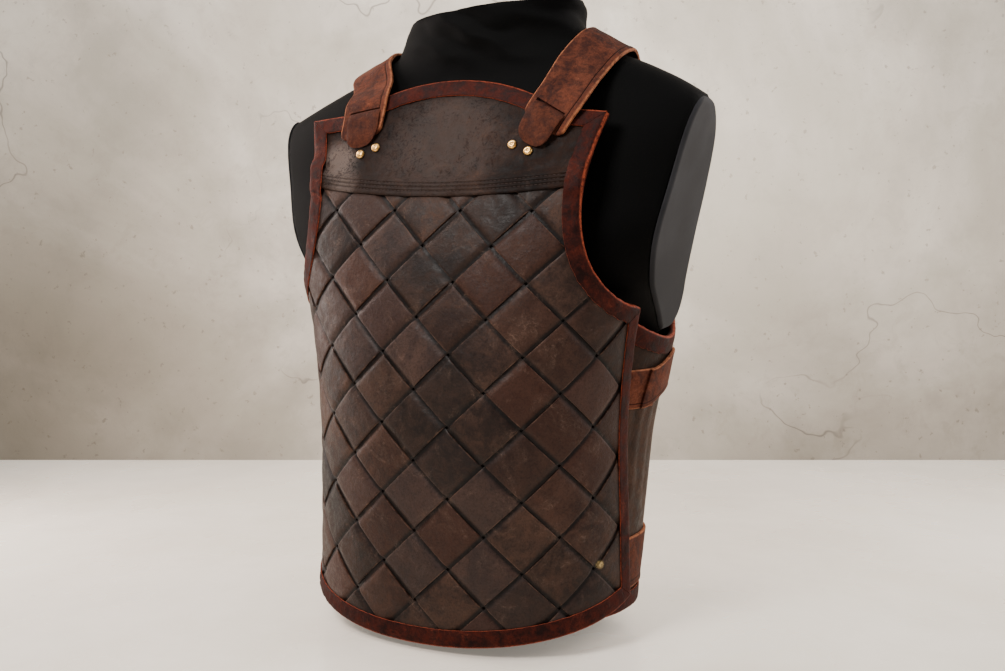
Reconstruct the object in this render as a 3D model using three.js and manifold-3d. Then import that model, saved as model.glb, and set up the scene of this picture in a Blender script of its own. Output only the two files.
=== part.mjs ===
// Plaited leather body armour, worn by a limbless torso dress form.
// Millimetres, Z up. The front faces -Y, and the wearer's left is +X.
// A breast panel of strips plaited at 45 degrees lies on a backing, under a bib.
// Bindings fold over every edge. Straps and side bands join it to a back panel.

import * as THREE from 'three';
import { mergeVertices } from 'three/addons/utils/BufferGeometryUtils.js';
import Module from 'manifold-3d';

const wasm = await Module();
wasm.setup();

// Where the worn panel hangs above the surface that the form stands on.
const HEM_HEIGHT = 8;

// Plait: half diagonals of one square, and the lattice's origin on the flat panel.
const SQUARE_HALF_WIDTH = 37.1;
const SQUARE_HALF_HEIGHT = 35.1;
const LATTICE_CENTRE_COLUMN = 1.1;
const LATTICE_TOP = 427.6;
const STRIP_THICKNESS = 1.8;
const STRIP_LIFT = 1.1;
const STRIP_GAP = 2.6;
const SMALLEST_STRIP_VOLUME = 350;

// Heights over the middle surface of the plait, outwards.
const BACKING = { inner: -4.5, outer: -2.9 };
const PLAIT_TOP = STRIP_LIFT + STRIP_THICKNESS / 2;
const BIB_THICKNESS = 1.7;
const BIB_OVER_PLAIT = 2.4;
const BIB_OVER_BACKING = -2.3;

// Flat cut of the front panel: u across from the centre, v up from the hem.
const BIB_PEAK = 567;
const NECK_ARCH_RADIUS = 216;
const NECK_ARCH_HALF_WIDTH = 118;
const BIB_CORNER = { u: 167, v: 527 };
const SIDE_EDGE = 233;
const SIDE_TOP = 331;
const HEM_RISE = 40;
const ARMHOLE_CUT = [
  { u: 167, v: 527 },
  { u: 158, v: 490 },
  { u: 153, v: 450 },
  { u: 155, v: 411 },
  { u: 165, v: 377 },
  { u: 184, v: 352 },
  { u: 208, v: 337 },
  { u: 233, v: 331 },
];
const BIB_EDGE_HEIGHT = 441;
const BIB_EDGE_RISE = 0.0005;
const BIB_OVERLAP = 13;

// Bindings: a U of thin leather folded over the edge.
const FRONT_BINDING = { width: 16, thickness: 1.4, over: 1, under: 1.6, edge: 0.3 };
const BACK_BINDING = { width: 16, thickness: 1.4, over: 1.4, under: 1.4, edge: 0.3 };
const JOINT_GAP = 0.4;

// Grids of the sheets: columns lie on the plait's own lines of equal u.
const COLUMN_STEP = SQUARE_HALF_WIDTH / 2;
const COLUMN_SHIFT = (2 - 2 * LATTICE_CENTRE_COLUMN) * COLUMN_STEP;
const COLUMNS_EACH_SIDE = 14;
const SHORT_STEP = 3;
const MITRE_STEP = 17;
const SHOULDER_STEP = 24;
const BACKING_ROWS = 12;
const BACKING_SPAN = { from: -20, to: 587 };
const CUT_SPACING = 15;
const SIDE_SPACING = 22.5;
const BACK_CUT_SPACING = 18;
const WING_END_SPACING = 54;
const CUTTER = { low: -50, high: 300 };
const DOME = 0.0003;
const BIB_ROWS = [
  { above: 0, height: BIB_OVER_PLAIT },
  { above: BIB_OVERLAP + 0.8, height: BIB_OVER_PLAIT },
  { above: 21, height: BIB_OVER_BACKING },
  { above: 58, height: BIB_OVER_BACKING },
  { above: 96, height: BIB_OVER_BACKING },
  { above: 138, height: BIB_OVER_BACKING },
];

// Rings of the worn front panel, from hem to neck.
const FRONT_RINGS = [
  { z: -30, halfWidth: 179, front: 137, power: 2.25 },
  { z: 0, halfWidth: 178, front: 137, power: 2.28 },
  { z: 110, halfWidth: 173, front: 137, power: 2.35 },
  { z: 220, halfWidth: 171, front: 138, power: 2.44 },
  { z: 330, halfWidth: 187, front: 129, power: 2.54 },
  { z: 440, halfWidth: 226, front: 104, power: 2.65 },
  { z: 550, halfWidth: 277, front: 56, power: 2.78 },
  { z: 600, halfWidth: 300, front: 28, power: 2.85 },
];

// Rings of the back panel with its wings. Depths are measured from the centre.
const BACK_RINGS = [
  { z: 0, centre: 10, halfWidth: 161, front: 130, back: 96, power: 2.3 },
  { z: 60, centre: 17, halfWidth: 164, front: 130, back: 99, power: 2.35 },
  { z: 130, centre: 25, halfWidth: 168, front: 124, back: 101, power: 2.4 },
  { z: 210, centre: 35, halfWidth: 173, front: 115, back: 95, power: 2.5 },
  { z: 300, centre: 45, halfWidth: 188, front: 122, back: 86, power: 2.6 },
  { z: 380, centre: 45, halfWidth: 200, front: 126, back: 88, power: 2.6 },
  { z: 460, centre: 38, halfWidth: 208, front: 126, back: 92, power: 2.6 },
  { z: 540, centre: 30, halfWidth: 214, front: 110, back: 84, power: 2.6 },
  { z: 600, centre: 30, halfWidth: 214, front: 100, back: 70, power: 2.6 },
];
const BACK_FRONT_POWER = 2.1;
const BACK_THICKNESS = 2.2;
const BACK_COLUMNS = [
  { from: 0, to: 84, count: 3 },
  { from: 84, to: 204, count: 10 },
  { from: 204, to: 324, count: 5 },
];
const BACK_ROWS = [560, 500, 440, 380, 330, 274, 234, 180, 100, 46, 0];

// Flat cut of the back panel: s around from the centre, z up.
const BACK_HEM = 26;
const BACK_PEAK = 540;
const BACK_WING_END = 300;
const BACK_CORNER = { u: 152, v: 522 };
const BACK_ARMHOLE_CUT = [
  { u: 152, v: 522 },
  { u: 149, v: 455 },
  { u: 153, v: 400 },
  { u: 166, v: 356 },
  { u: 186, v: 324 },
  { u: 208, v: 306 },
  { u: 232, v: 303 },
  { u: 262, v: 310 },
  { u: 300, v: 326 },
];

// Straps and rivets.
const STRAP_THICKNESS = 2.6;
const TAB_THICKNESS = 2;
const TAB_WIDTH = 33;
const RIVET_PROFILE = [
  { radius: 0, height: 0 },
  { radius: 3.4, height: 0 },
  { radius: 4.9, height: 0.93 },
  { radius: 3.92, height: 2.48 },
  { radius: 0, height: 3.1 },
];
const FRONT_RIVETS = [
  { u: 95.3, v: 488 },
  { u: 77.7, v: 495 },
];
const BACK_RIVETS = [
  { u: 94, v: 484 },
  { u: 118, v: 484 },
];
const STRAP_ON_BIB = {
  left: [
    { u: 104.5, v: 513, turn: 32, lift: 2.2, width: 52 },
    { u: 113, v: 529, turn: 31, lift: 5.6, width: 52 },
    { u: 123, v: 546, turn: 30, lift: 7.6, width: 52 },
  ],
  right: [
    { u: 100, v: 506, turn: 9, lift: 1.7, width: 50 },
    { u: 98.5, v: 526, turn: 10, lift: 4.6, width: 50 },
    { u: 98, v: 544, turn: 11, lift: 6.7, width: 50 },
  ],
};
const STRAP_OVER_SHOULDER = {
  left: [
    { x: 130, y: -39, z: 567.5, tilt: 29, width: 52 },
    { x: 140, y: -14, z: 588.5, tilt: 34, width: 51 },
    { x: 142, y: 14, z: 596, tilt: 31, width: 51 },
    { x: 134, y: 50, z: 588, tilt: 28, width: 51 },
    { x: 122, y: 92, z: 562, tilt: 14, width: 50 },
  ],
  right: [
    { x: 107, y: -43, z: 565, tilt: 13, width: 50 },
    { x: 124, y: -17, z: 586.5, tilt: 21, width: 51 },
    { x: 131, y: 14, z: 597, tilt: 23, width: 51 },
    { x: 125, y: 50, z: 588.5, tilt: 25, width: 51 },
    { x: 114, y: 92, z: 562, tilt: 14, width: 50 },
  ],
};
const STRAP_ON_BACK = [
  { u: 108, v: 534, turn: 0, lift: 9, width: 50 },
  { u: 107, v: 516, turn: 0, lift: 7.9, width: 50 },
  { u: 106, v: 498, turn: 0, lift: 4.2, width: 50 },
  { u: 106, v: 474, turn: 0, lift: 3.9, width: 50 },
];
const TAB_ON_BIB = [
  { u: 90.5, v: 497, turn: 20, lift: 0.9, width: TAB_WIDTH },
  { u: 92.5, v: 503, turn: 20, lift: 4.2, width: TAB_WIDTH },
  { u: 97, v: 515, turn: 20, lift: 6.6, width: TAB_WIDTH },
  { u: 104, v: 536, turn: 20, lift: 10.4, width: TAB_WIDTH },
];
const SIDE_BANDS = {
  side_tab_upper: { from: 228, to: 300, low: 234, high: 274, inner: 2.6, outer: 4.4, rise: 0 },
  side_strap_upper: { from: 108, to: 252, low: 234, high: 274, inner: 5, outer: 7.8, rise: 16 },
  side_strap_lower: { from: 108, to: 276, low: 46, high: 100, inner: 2.6, outer: 5.1, rise: 0 },
};
const CLIMB = { from: 196, to: 256 };
const STRAP_STEP = 17;
const TAB_STEP = 7;
const RIVET_SIDES = 8;
const SEAT_GAP = 0.3;

// Rings of the dress form. Depths are measured from the centre.
const FORM_RINGS = [
  { z: 0, centre: 0, halfWidth: 112, front: 84, back: 70, frontPower: 2.2, backPower: 2.2 },
  { z: 60, centre: 0, halfWidth: 132, front: 104, back: 82, frontPower: 2.2, backPower: 2.2 },
  { z: 120, centre: 0, halfWidth: 141, front: 114, back: 92, frontPower: 2.2, backPower: 2.2 },
  { z: 180, centre: 0, halfWidth: 142, front: 115, back: 99, frontPower: 2.2, backPower: 2.2 },
  { z: 240, centre: 4, halfWidth: 146, front: 119, back: 102, frontPower: 2, backPower: 2.2 },
  { z: 285, centre: 14, halfWidth: 162, front: 124, back: 100, frontPower: 1.8, backPower: 2.3 },
  { z: 304, centre: 34, halfWidth: 177, front: 140, back: 82, frontPower: 1.4, backPower: 2.3 },
  { z: 325, centre: 40, halfWidth: 202, front: 144, back: 78, frontPower: 1.3, backPower: 2.3 },
  { z: 345, centre: 32, halfWidth: 218, front: 134, back: 86, frontPower: 1.45, backPower: 2.3 },
  { z: 365, centre: 20, halfWidth: 229, front: 118, back: 98, frontPower: 1.7, backPower: 2.2 },
  { z: 410, centre: 6, halfWidth: 246, front: 92, back: 112, frontPower: 2.1, backPower: 2.2 },
  { z: 460, centre: 6, halfWidth: 260, front: 76, back: 110, frontPower: 2.1, backPower: 2.2 },
  { z: 505, centre: 8, halfWidth: 265, front: 66, back: 102, frontPower: 2.1, backPower: 2.2 },
  { z: 529, centre: 10, halfWidth: 250, front: 60, back: 90, frontPower: 2.1, backPower: 2.2 },
  { z: 549, centre: 12, halfWidth: 218, front: 54, back: 80, frontPower: 2.1, backPower: 2.2 },
  { z: 567, centre: 14, halfWidth: 180, front: 50, back: 74, frontPower: 2.2, backPower: 2.2 },
  { z: 584, centre: 16, halfWidth: 140, front: 51, back: 70, frontPower: 2.2, backPower: 2.2 },
  { z: 600, centre: 18, halfWidth: 112, front: 54, back: 66, frontPower: 2.1, backPower: 2.1 },
  { z: 618, centre: 20, halfWidth: 99, front: 58, back: 63, frontPower: 2.1, backPower: 2.1 },
  { z: 660, centre: 22, halfWidth: 95, front: 60, back: 62, frontPower: 2.1, backPower: 2.1 },
];
const FORM_COLUMNS = 28;
const FORM_LEVELS = [
  0, 40, 80, 160, 240, 285, 306, 316, 325, 335, 345, 365, 387, 410, 435,
  460, 505, 518, 529, 539, 549, 558, 567, 584, 600, 618, 660,
];
// The neck is cut along a sloping plane. The shoulders lean and sway to one side.
const NECK_CUT = { z: 636, slope: 0.09 };
const SHOULDER_LEAN = { slope: 0.05, sway: 6, from: 470, to: 600 };
const ARM_PLATE = { x: 206, z: 400, lean: 0.225, thickness: 4 };
const SLAB_SIZE = 900;

// Colours, roughness and metalness of the finishes.
const FINISHES = {
  strip: { color: 0x43322b, roughness: 0.6 },
  backing: { color: 0x1c1410, roughness: 0.8 },
  bib: { color: 0x3d2e27, roughness: 0.6 },
  binding: { color: 0x5a261e, roughness: 0.6 },
  strap: { color: 0x7d4632, roughness: 0.7 },
  back: { color: 0x4b3e30, roughness: 0.65 },
  brass: { color: 0xc79a55, roughness: 0.3, metalness: 1 },
  form: { color: 0x121212, roughness: 0.85 },
  plate: { color: 0x373737, roughness: 0.7 },
};

// Value of one column of a ring table at height z, by a smooth curve through the rows.
function ringValue(rings, column, z) {
  const last = rings.length - 1;
  const height = THREE.MathUtils.clamp(z, rings[0].z, rings[last].z);
  let k = 0;
  while (k < last - 1 && rings[k + 1].z < height) k += 1;
  const slope = (a, b) => (rings[b][column] - rings[a][column]) / (rings[b].z - rings[a].z);
  const span = rings[k + 1].z - rings[k].z;
  const t = (height - rings[k].z) / span;
  const slopeStart = slope(Math.max(k - 1, 0), k + 1);
  const slopeEnd = slope(k, Math.min(k + 2, last));
  const t2 = t * t;
  const t3 = t2 * t;
  return (2 * t3 - 3 * t2 + 1) * rings[k][column]
    + (t3 - 2 * t2 + t) * span * slopeStart
    + (3 * t2 - 2 * t3) * rings[k + 1][column]
    + (t3 - t2) * span * slopeEnd;
}

// Walks a quarter of a superellipse from its nose, and gives the point after a distance.
// side is the distance to the flank, depth the distance from nose to centre.
const QUARTER_STEPS = 72;
function quarterPoint(side, depth, power, distance) {
  let walked = 0;
  let across = 0;
  let along = 0;
  for (let k = 1; k <= QUARTER_STEPS; k += 1) {
    const angle = (k / QUARTER_STEPS) * (Math.PI / 2);
    const nextAcross = side * Math.sin(angle) ** (2 / power);
    const nextAlong = depth * (1 - Math.cos(angle) ** (2 / power));
    const step = Math.hypot(nextAcross - across, nextAlong - along);
    if (walked + step >= distance) {
      const t = (distance - walked) / step;
      return { across: across + t * (nextAcross - across), along: along + t * (nextAlong - along) };
    }
    walked += step;
    across = nextAcross;
    along = nextAlong;
  }
  return { across, along: along + distance - walked, rest: distance - walked };
}

// Height of the front panel after a distance v up its centre line.
const PROFILE_STEP = 5;
const PROFILE_TOP = 640;
const profileLengths = [0];
for (let z = PROFILE_STEP; z <= PROFILE_TOP; z += PROFILE_STEP) {
  const lean = ringValue(FRONT_RINGS, 'front', z) - ringValue(FRONT_RINGS, 'front', z - PROFILE_STEP);
  profileLengths.push(profileLengths.at(-1) + Math.hypot(PROFILE_STEP, lean));
}
function frontHeight(v) {
  if (v <= 0) return v;
  let k = 0;
  while (k < profileLengths.length - 2 && profileLengths[k + 1] < v) k += 1;
  const t = (v - profileLengths[k]) / (profileLengths[k + 1] - profileLengths[k]);
  return (k + t) * PROFILE_STEP;
}

// Middle surface of the plait, bent round the body.
function frontSurface(u, v) {
  const z = frontHeight(v);
  const front = ringValue(FRONT_RINGS, 'front', z);
  const halfWidth = ringValue(FRONT_RINGS, 'halfWidth', z);
  const point = quarterPoint(halfWidth, front, ringValue(FRONT_RINGS, 'power', z), Math.abs(u));
  return new THREE.Vector3(Math.sign(u) * point.across, point.along - front, z + HEM_HEIGHT);
}

// Inner face of the back panel: s runs towards the wearer's right, seen from behind.
function backSurface(s, z) {
  const value = (column) => ringValue(BACK_RINGS, column, z);
  const distance = Math.abs(s);
  const rear = quarterPoint(value('halfWidth'), value('back'), value('power'), distance);
  let across = rear.across;
  let y = value('centre') + value('back') - rear.along;
  if (rear.rest > 0) {
    const angle = rear.rest / value('front');
    across = value('halfWidth') * Math.cos(angle) ** (2 / BACK_FRONT_POWER);
    y = value('centre') - value('front') * Math.sin(angle) ** (2 / BACK_FRONT_POWER);
  }
  return new THREE.Vector3(-Math.sign(s) * across, y, z);
}

// Lifts a point off a surface along its normal.
const SLOPE_STEP = 1.5;
function lifted(surface, a, b, height) {
  const base = surface(a, b);
  const acrossStep = surface(a + SLOPE_STEP, b).sub(surface(a - SLOPE_STEP, b));
  const upStep = surface(a, b + SLOPE_STEP).sub(surface(a, b - SLOPE_STEP));
  return base.addScaledVector(acrossStep.cross(upStep).normalize(), height);
}
const onFront = (u, v, height) => lifted(frontSurface, u, v, height);
const onBack = (s, z, height) => lifted(backSurface, s, z, height);

// Mesh and solid helpers.
const MERGE_DISTANCE = 1e-4;
function geometryOf(points, faces) {
  const geometry = new THREE.BufferGeometry();
  const positions = points.flatMap((p) => [p.x, p.y, p.z]);
  geometry.setAttribute('position', new THREE.Float32BufferAttribute(positions, 3));
  geometry.setIndex(faces.flat());
  return geometry;
}

function solidOf(geometry) {
  const plain = geometry.clone();
  plain.deleteAttribute('normal');
  plain.deleteAttribute('uv');
  const merged = mergeVertices(plain, MERGE_DISTANCE);
  return new wasm.Manifold(new wasm.Mesh({
    numProp: 3,
    vertProperties: new Float32Array(merged.attributes.position.array),
    triVerts: new Uint32Array(merged.index.array),
  }));
}

function geometryFrom(solid) {
  const mesh = solid.getMesh();
  const geometry = new THREE.BufferGeometry();
  geometry.setAttribute('position', new THREE.BufferAttribute(mesh.vertProperties, 3));
  geometry.setIndex(new THREE.BufferAttribute(mesh.triVerts, 1));
  return geometry;
}

// Turns every face outwards.
function facingOut(geometry) {
  const plain = geometry.index ? geometry : mergeVertices(geometry);
  const position = plain.attributes.position;
  const index = plain.index.array;
  const corner = (k) => new THREE.Vector3().fromBufferAttribute(position, index[k]);
  let volume = 0;
  for (let k = 0; k < index.length; k += 3) {
    volume += corner(k).dot(corner(k + 1).cross(corner(k + 2)));
  }
  if (volume < 0) {
    for (let k = 0; k < index.length; k += 3) {
      [index[k + 1], index[k + 2]] = [index[k + 2], index[k + 1]];
    }
  }
  return plain;
}

// The largest body of a solid, without slivers that a cut leaves.
function largestBody(solid) {
  const bodies = solid.decompose();
  return bodies.reduce((best, body) => (body.volume() > best.volume() ? body : best));
}

// A closed sheet on a grid of rows, each row a list of {top, bottom} points.
function sheetGeometry(rows) {
  const count = rows[0].length;
  const points = [];
  for (const row of rows) for (const cell of row) points.push(cell.top, cell.bottom);
  const top = (r, c) => 2 * (r * count + c);
  const bottom = (r, c) => top(r, c) + 1;
  const faces = [];
  const wall = (r0, c0, r1, c1) => {
    faces.push([top(r0, c0), bottom(r0, c0), bottom(r1, c1)]);
    faces.push([top(r0, c0), bottom(r1, c1), top(r1, c1)]);
  };
  const lastRow = rows.length - 1;
  const lastColumn = count - 1;
  for (let r = 0; r < lastRow; r += 1) {
    for (let c = 0; c < lastColumn; c += 1) {
      faces.push([top(r, c), top(r, c + 1), top(r + 1, c + 1)]);
      faces.push([top(r, c), top(r + 1, c + 1), top(r + 1, c)]);
      faces.push([bottom(r, c), bottom(r + 1, c + 1), bottom(r, c + 1)]);
      faces.push([bottom(r, c), bottom(r + 1, c), bottom(r + 1, c + 1)]);
    }
  }
  for (let c = 0; c < lastColumn; c += 1) {
    wall(0, c, 0, c + 1);
    wall(lastRow, c + 1, lastRow, c);
  }
  for (let r = 0; r < lastRow; r += 1) {
    wall(r + 1, 0, r, 0);
    wall(r, lastColumn, r + 1, lastColumn);
  }
  return geometryOf(points, faces);
}

// A closed loft through equal loops of points, with flat fans at both ends.
function loftGeometry(loops) {
  const count = loops[0].length;
  const points = loops.flat();
  const faces = [];
  for (let r = 0; r < loops.length - 1; r += 1) {
    for (let c = 0; c < count; c += 1) {
      const next = (c + 1) % count;
      faces.push([r * count + c, r * count + next, (r + 1) * count + next]);
      faces.push([r * count + c, (r + 1) * count + next, (r + 1) * count + c]);
    }
  }
  for (const end of [0, loops.length - 1]) {
    const outline = loops[end];
    const normal = new THREE.Vector3();
    outline.forEach((p, k) => {
      const q = outline[(k + 1) % count];
      normal.add(p.clone().cross(q));
    });
    normal.normalize();
    const side = new THREE.Vector3().subVectors(outline[1], outline[0]).normalize();
    const up = new THREE.Vector3().crossVectors(normal, side);
    const flat = outline.map((p) => new THREE.Vector2(p.dot(side), p.dot(up)));
    for (const [a, b, c] of THREE.ShapeUtils.triangulateShape(flat, [])) {
      const base = end * count;
      if (end === 0) faces.push([base + c, base + b, base + a]);
      else faces.push([base + a, base + b, base + c]);
    }
  }
  return geometryOf(points, faces);
}

// Points of a curve at an even spacing.
const CURVE_DIVISIONS = 400;
function evenly(points, spacing) {
  const curve = new THREE.SplineCurve(points.map((p) => new THREE.Vector2(p.u, p.v)));
  curve.arcLengthDivisions = CURVE_DIVISIONS;
  const count = Math.max(2, Math.round(curve.getLength() / spacing));
  return curve.getSpacedPoints(count).map((p) => ({ u: p.x, v: p.y }));
}

// Outlines of the flat cuts, each a list of stretches that run anticlockwise.
const mirrored = (points) => points.map((p) => ({ u: -p.u, v: p.v })).reverse();
function straight(from, to, spacing) {
  const length = Math.hypot(to.u - from.u, to.v - from.v);
  const count = Math.max(1, Math.round(length / spacing));
  return Array.from({ length: count + 1 }, (_, k) => ({
    u: from.u + ((to.u - from.u) * k) / count,
    v: from.v + ((to.v - from.v) * k) / count,
  }));
}

// Columns of the sheets, shared by the pieces that lie on them.
const frontColumns = Array.from({ length: 2 * COLUMNS_EACH_SIDE + 1 }, (_, k) => (
  (k - COLUMNS_EACH_SIDE) * COLUMN_STEP + COLUMN_SHIFT));
const backHalf = BACK_COLUMNS.flatMap(({ from, to, count }) => (
  Array.from({ length: count }, (_, k) => from + ((k + 1) * (to - from)) / count)));
const backColumns = [...backHalf.map((u) => -u).reverse(), 0, ...backHalf];
function columnsBetween(columns, from, to, shortestStep) {
  const inside = columns.filter((u) => u > from + shortestStep && u < to - shortestStep);
  return [from, ...inside, to];
}

const hemHeightAt = (u) => HEM_RISE * (u / SIDE_EDGE) ** 2;
const bibEdgeAt = (u) => BIB_EDGE_HEIGHT + BIB_EDGE_RISE * u * u;
const archHeightAt = (u) => BIB_PEAK - NECK_ARCH_RADIUS + Math.sqrt(NECK_ARCH_RADIUS ** 2 - u * u);
const backTopAt = (u) => BACK_PEAK - (BACK_PEAK - BACK_CORNER.v) * (u / BACK_CORNER.u) ** 2;

// The neck arch, with a straight shoulder on each side.
function frontTop() {
  const arch = columnsBetween(frontColumns, -NECK_ARCH_HALF_WIDTH, NECK_ARCH_HALF_WIDTH, SHORT_STEP)
    .map((u) => ({ u, v: archHeightAt(u) }));
  const left = straight(arch.at(-1), BIB_CORNER, SHOULDER_STEP);
  return [...mirrored(left), ...arch.slice(1, -1), ...left];
}

function frontStretches() {
  const armhole = evenly(ARMHOLE_CUT, CUT_SPACING);
  const side = straight({ u: SIDE_EDGE, v: HEM_RISE }, { u: SIDE_EDGE, v: SIDE_TOP }, SIDE_SPACING);
  return {
    hem: columnsBetween(frontColumns, -SIDE_EDGE, SIDE_EDGE, MITRE_STEP)
      .map((u) => ({ u, v: hemHeightAt(u) })),
    side_left: side,
    armhole_left: [...armhole].reverse(),
    top: frontTop().reverse(),
    armhole_right: mirrored([...armhole].reverse()),
    side_right: mirrored(side),
  };
}

// Seen from behind, the wearer's right is at positive u.
function backStretches() {
  const armhole = evenly(BACK_ARMHOLE_CUT, BACK_CUT_SPACING);
  const end = straight(
    { u: BACK_WING_END, v: BACK_HEM },
    { u: BACK_WING_END, v: BACK_ARMHOLE_CUT.at(-1).v },
    WING_END_SPACING,
  );
  return {
    hem: columnsBetween(backColumns, -BACK_WING_END, BACK_WING_END, MITRE_STEP)
      .map((u) => ({ u, v: BACK_HEM })),
    end_right: end,
    armhole_right: [...armhole].reverse(),
    top: columnsBetween(backColumns, -BACK_CORNER.u, BACK_CORNER.u, MITRE_STEP)
      .map((u) => ({ u, v: backTopAt(u) })).reverse(),
    armhole_left: mirrored([...armhole].reverse()),
    end_left: mirrored(end),
  };
}

function outlineOf(stretches) {
  return Object.values(stretches).flatMap((stretch) => stretch.slice(0, -1));
}

// Sheets are cut while flat, then bent. The flat sheets are slightly domed,
// so that a cut keeps every fold line of their grids.
const domeAt = (u, v) => DOME * (u * u + v * v);
const whileFlat = (u, v, height) => new THREE.Vector3(u, v, height + domeAt(u, v));

// An upright block on a flat outline.
function cutter(outline) {
  const flat = outline.map((p) => new THREE.Vector2(p.u, p.v));
  const loop = (z) => flat.map((p) => new THREE.Vector3(p.x, p.y, z));
  const points = [...loop(CUTTER.low), ...loop(CUTTER.high)];
  const count = outline.length;
  const faces = [];
  for (const [a, b, c] of THREE.ShapeUtils.triangulateShape(flat, [])) {
    faces.push([c, b, a], [count + a, count + b, count + c]);
  }
  for (let k = 0; k < count; k += 1) {
    const next = (k + 1) % count;
    faces.push([k, next, count + next], [k, count + next, count + k]);
  }
  return solidOf(geometryOf(points, faces));
}

function bent(solid, place) {
  const geometry = geometryFrom(solid);
  const position = geometry.attributes.position;
  for (let k = 0; k < position.count; k += 1) {
    const [u, v] = [position.getX(k), position.getY(k)];
    const point = place(u, v, position.getZ(k) - domeAt(u, v));
    position.setXYZ(k, point.x, point.y, point.z);
  }
  return geometry;
}

// Plait lattice: i counts lines down to the right, j lines down to the left.
const latticePoint = (i, j) => ({
  u: (i - j - LATTICE_CENTRE_COLUMN) * SQUARE_HALF_WIDTH,
  v: LATTICE_TOP - (i + j) * SQUARE_HALF_HEIGHT,
});
const PITCH = (2 * SQUARE_HALF_WIDTH * SQUARE_HALF_HEIGHT)
  / Math.hypot(SQUARE_HALF_WIDTH, SQUARE_HALF_HEIGHT);
const EDGE = STRIP_GAP / 2 / PITCH;
const LATTICE = { first: -8, last: 13, reach: 272, top: 500, foot: -48 };

// One strip of the plait. Strips that run down to the right are on top where i + j is even.
function stripGeometry(runsRight, index) {
  const at = (along, across) => (runsRight
    ? latticePoint(along, index + across)
    : latticePoint(index + across, along));
  const rows = [];
  for (let cell = LATTICE.first; cell < LATTICE.last; cell += 1) {
    const centre = at(cell + 0.5, 0.5);
    const aside = Math.abs(centre.u) > LATTICE.reach;
    const outside = aside || centre.v > LATTICE.top || centre.v < LATTICE.foot;
    if (outside) continue;
    const even = (cell + index) % 2 === 0;
    const height = even === runsRight ? STRIP_LIFT : -STRIP_LIFT;
    for (const along of [EDGE, 0.5, 1 - EDGE]) {
      rows.push([EDGE, 0.5, 1 - EDGE].map((across) => {
        const { u, v } = at(cell + along, across);
        return {
          top: whileFlat(u, v, height + STRIP_THICKNESS / 2),
          bottom: whileFlat(u, v, height - STRIP_THICKNESS / 2),
        };
      }));
    }
  }
  return rows.length > 3 ? sheetGeometry(rows) : null;
}

// A sheet of the front panel on lines of equal u, with its own heights.
function frontSheet(rowsOfV, inner, outer) {
  return sheetGeometry(rowsOfV.map((row) => frontColumns.map((u) => ({
    top: whileFlat(u, row.at(u), outer(row)),
    bottom: whileFlat(u, row.at(u), inner(row)),
  }))));
}

// Bindings. The section is a U: w runs inwards from the cut edge, h outwards.
// Where the panel turns within the width, each leaf has a fold line halfway.
function bindingSection(size, low, high, turning) {
  const { width, thickness, over, under, edge } = size;
  const top = high + over;
  const foot = low - under;
  const back = -edge - thickness;
  const middle = turning ? [width / 2] : [];
  const leaf = (h, from, to) => [from, ...middle, to].map((w) => ({ w, h }));
  return [
    ...leaf(top + thickness, width, back),
    ...leaf(foot - thickness, back, width),
    ...leaf(foot, width, -edge),
    ...leaf(top, -edge, width),
  ];
}

const unit = (from, to) => {
  const length = Math.hypot(to.u - from.u, to.v - from.v);
  return { u: (to.u - from.u) / length, v: (to.v - from.v) / length };
};
const leftOf = (d) => ({ u: -d.v, v: d.u });
function mitre(a, b) {
  const left = leftOf(a);
  const other = leftOf(b);
  const scale = 1 / (1 + left.u * other.u + left.v * other.v);
  return { u: (left.u + other.u) * scale, v: (left.v + other.v) * scale };
}

// Folds a binding along one stretch of an outline, mitred to its neighbours.
function bindingGeometry(stretches, name, place, size, heights) {
  const names = Object.keys(stretches);
  const index = names.indexOf(name);
  const path = stretches[name];
  const before = stretches[names[(index + names.length - 1) % names.length]];
  const after = stretches[names[(index + 1) % names.length]];
  const loops = path.map((point, k) => {
    const arriving = k === 0 ? unit(before.at(-2), before.at(-1)) : unit(path[k - 1], point);
    const leaving = k === path.length - 1 ? unit(after[0], after[1]) : unit(point, path[k + 1]);
    const inward = mitre(arriving, leaving);
    const shift = k === 0 ? JOINT_GAP : (k === path.length - 1 ? -JOINT_GAP : 0);
    const along = k === 0 ? leaving : arriving;
    const { low, high } = heights(point.u, point.v);
    return bindingSection(size, low, high, name.startsWith('armhole')).map(({ w, h }) => place(
      point.u + inward.u * w + along.u * shift,
      point.v + inward.v * w + along.v * shift,
      h,
    ));
  });
  return loftGeometry(loops);
}

// The finished object, one mesh for each piece.
const armour = new THREE.Group();
function add(name, geometry, finish) {
  const material = new THREE.MeshStandardMaterial(FINISHES[finish]);
  const mesh = new THREE.Mesh(facingOut(geometry), material);
  mesh.name = name;
  armour.add(mesh);
}

// Front panel: backing, plait and bib
const frontCut = frontStretches();
const frontCutter = cutter(outlineOf(frontCut));
const plaitTop = frontColumns.map((u) => ({ u, v: bibEdgeAt(u) + BIB_OVERLAP })).reverse();
const plaitFoot = [frontColumns[0], frontColumns.at(-1)].map((u) => ({ u, v: LATTICE.foot }));
const plaitCutter = cutter([...plaitFoot, ...plaitTop]).intersect(frontCutter);

const backingRows = Array.from({ length: BACKING_ROWS + 1 }, (_, k) => ({
  at: () => THREE.MathUtils.lerp(BACKING_SPAN.from, BACKING_SPAN.to, k / BACKING_ROWS),
}));
const backingSheet = frontSheet(backingRows, () => BACKING.inner, () => BACKING.outer);
add('front_backing', bent(solidOf(facingOut(backingSheet)).intersect(frontCutter), onFront), 'backing');

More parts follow.
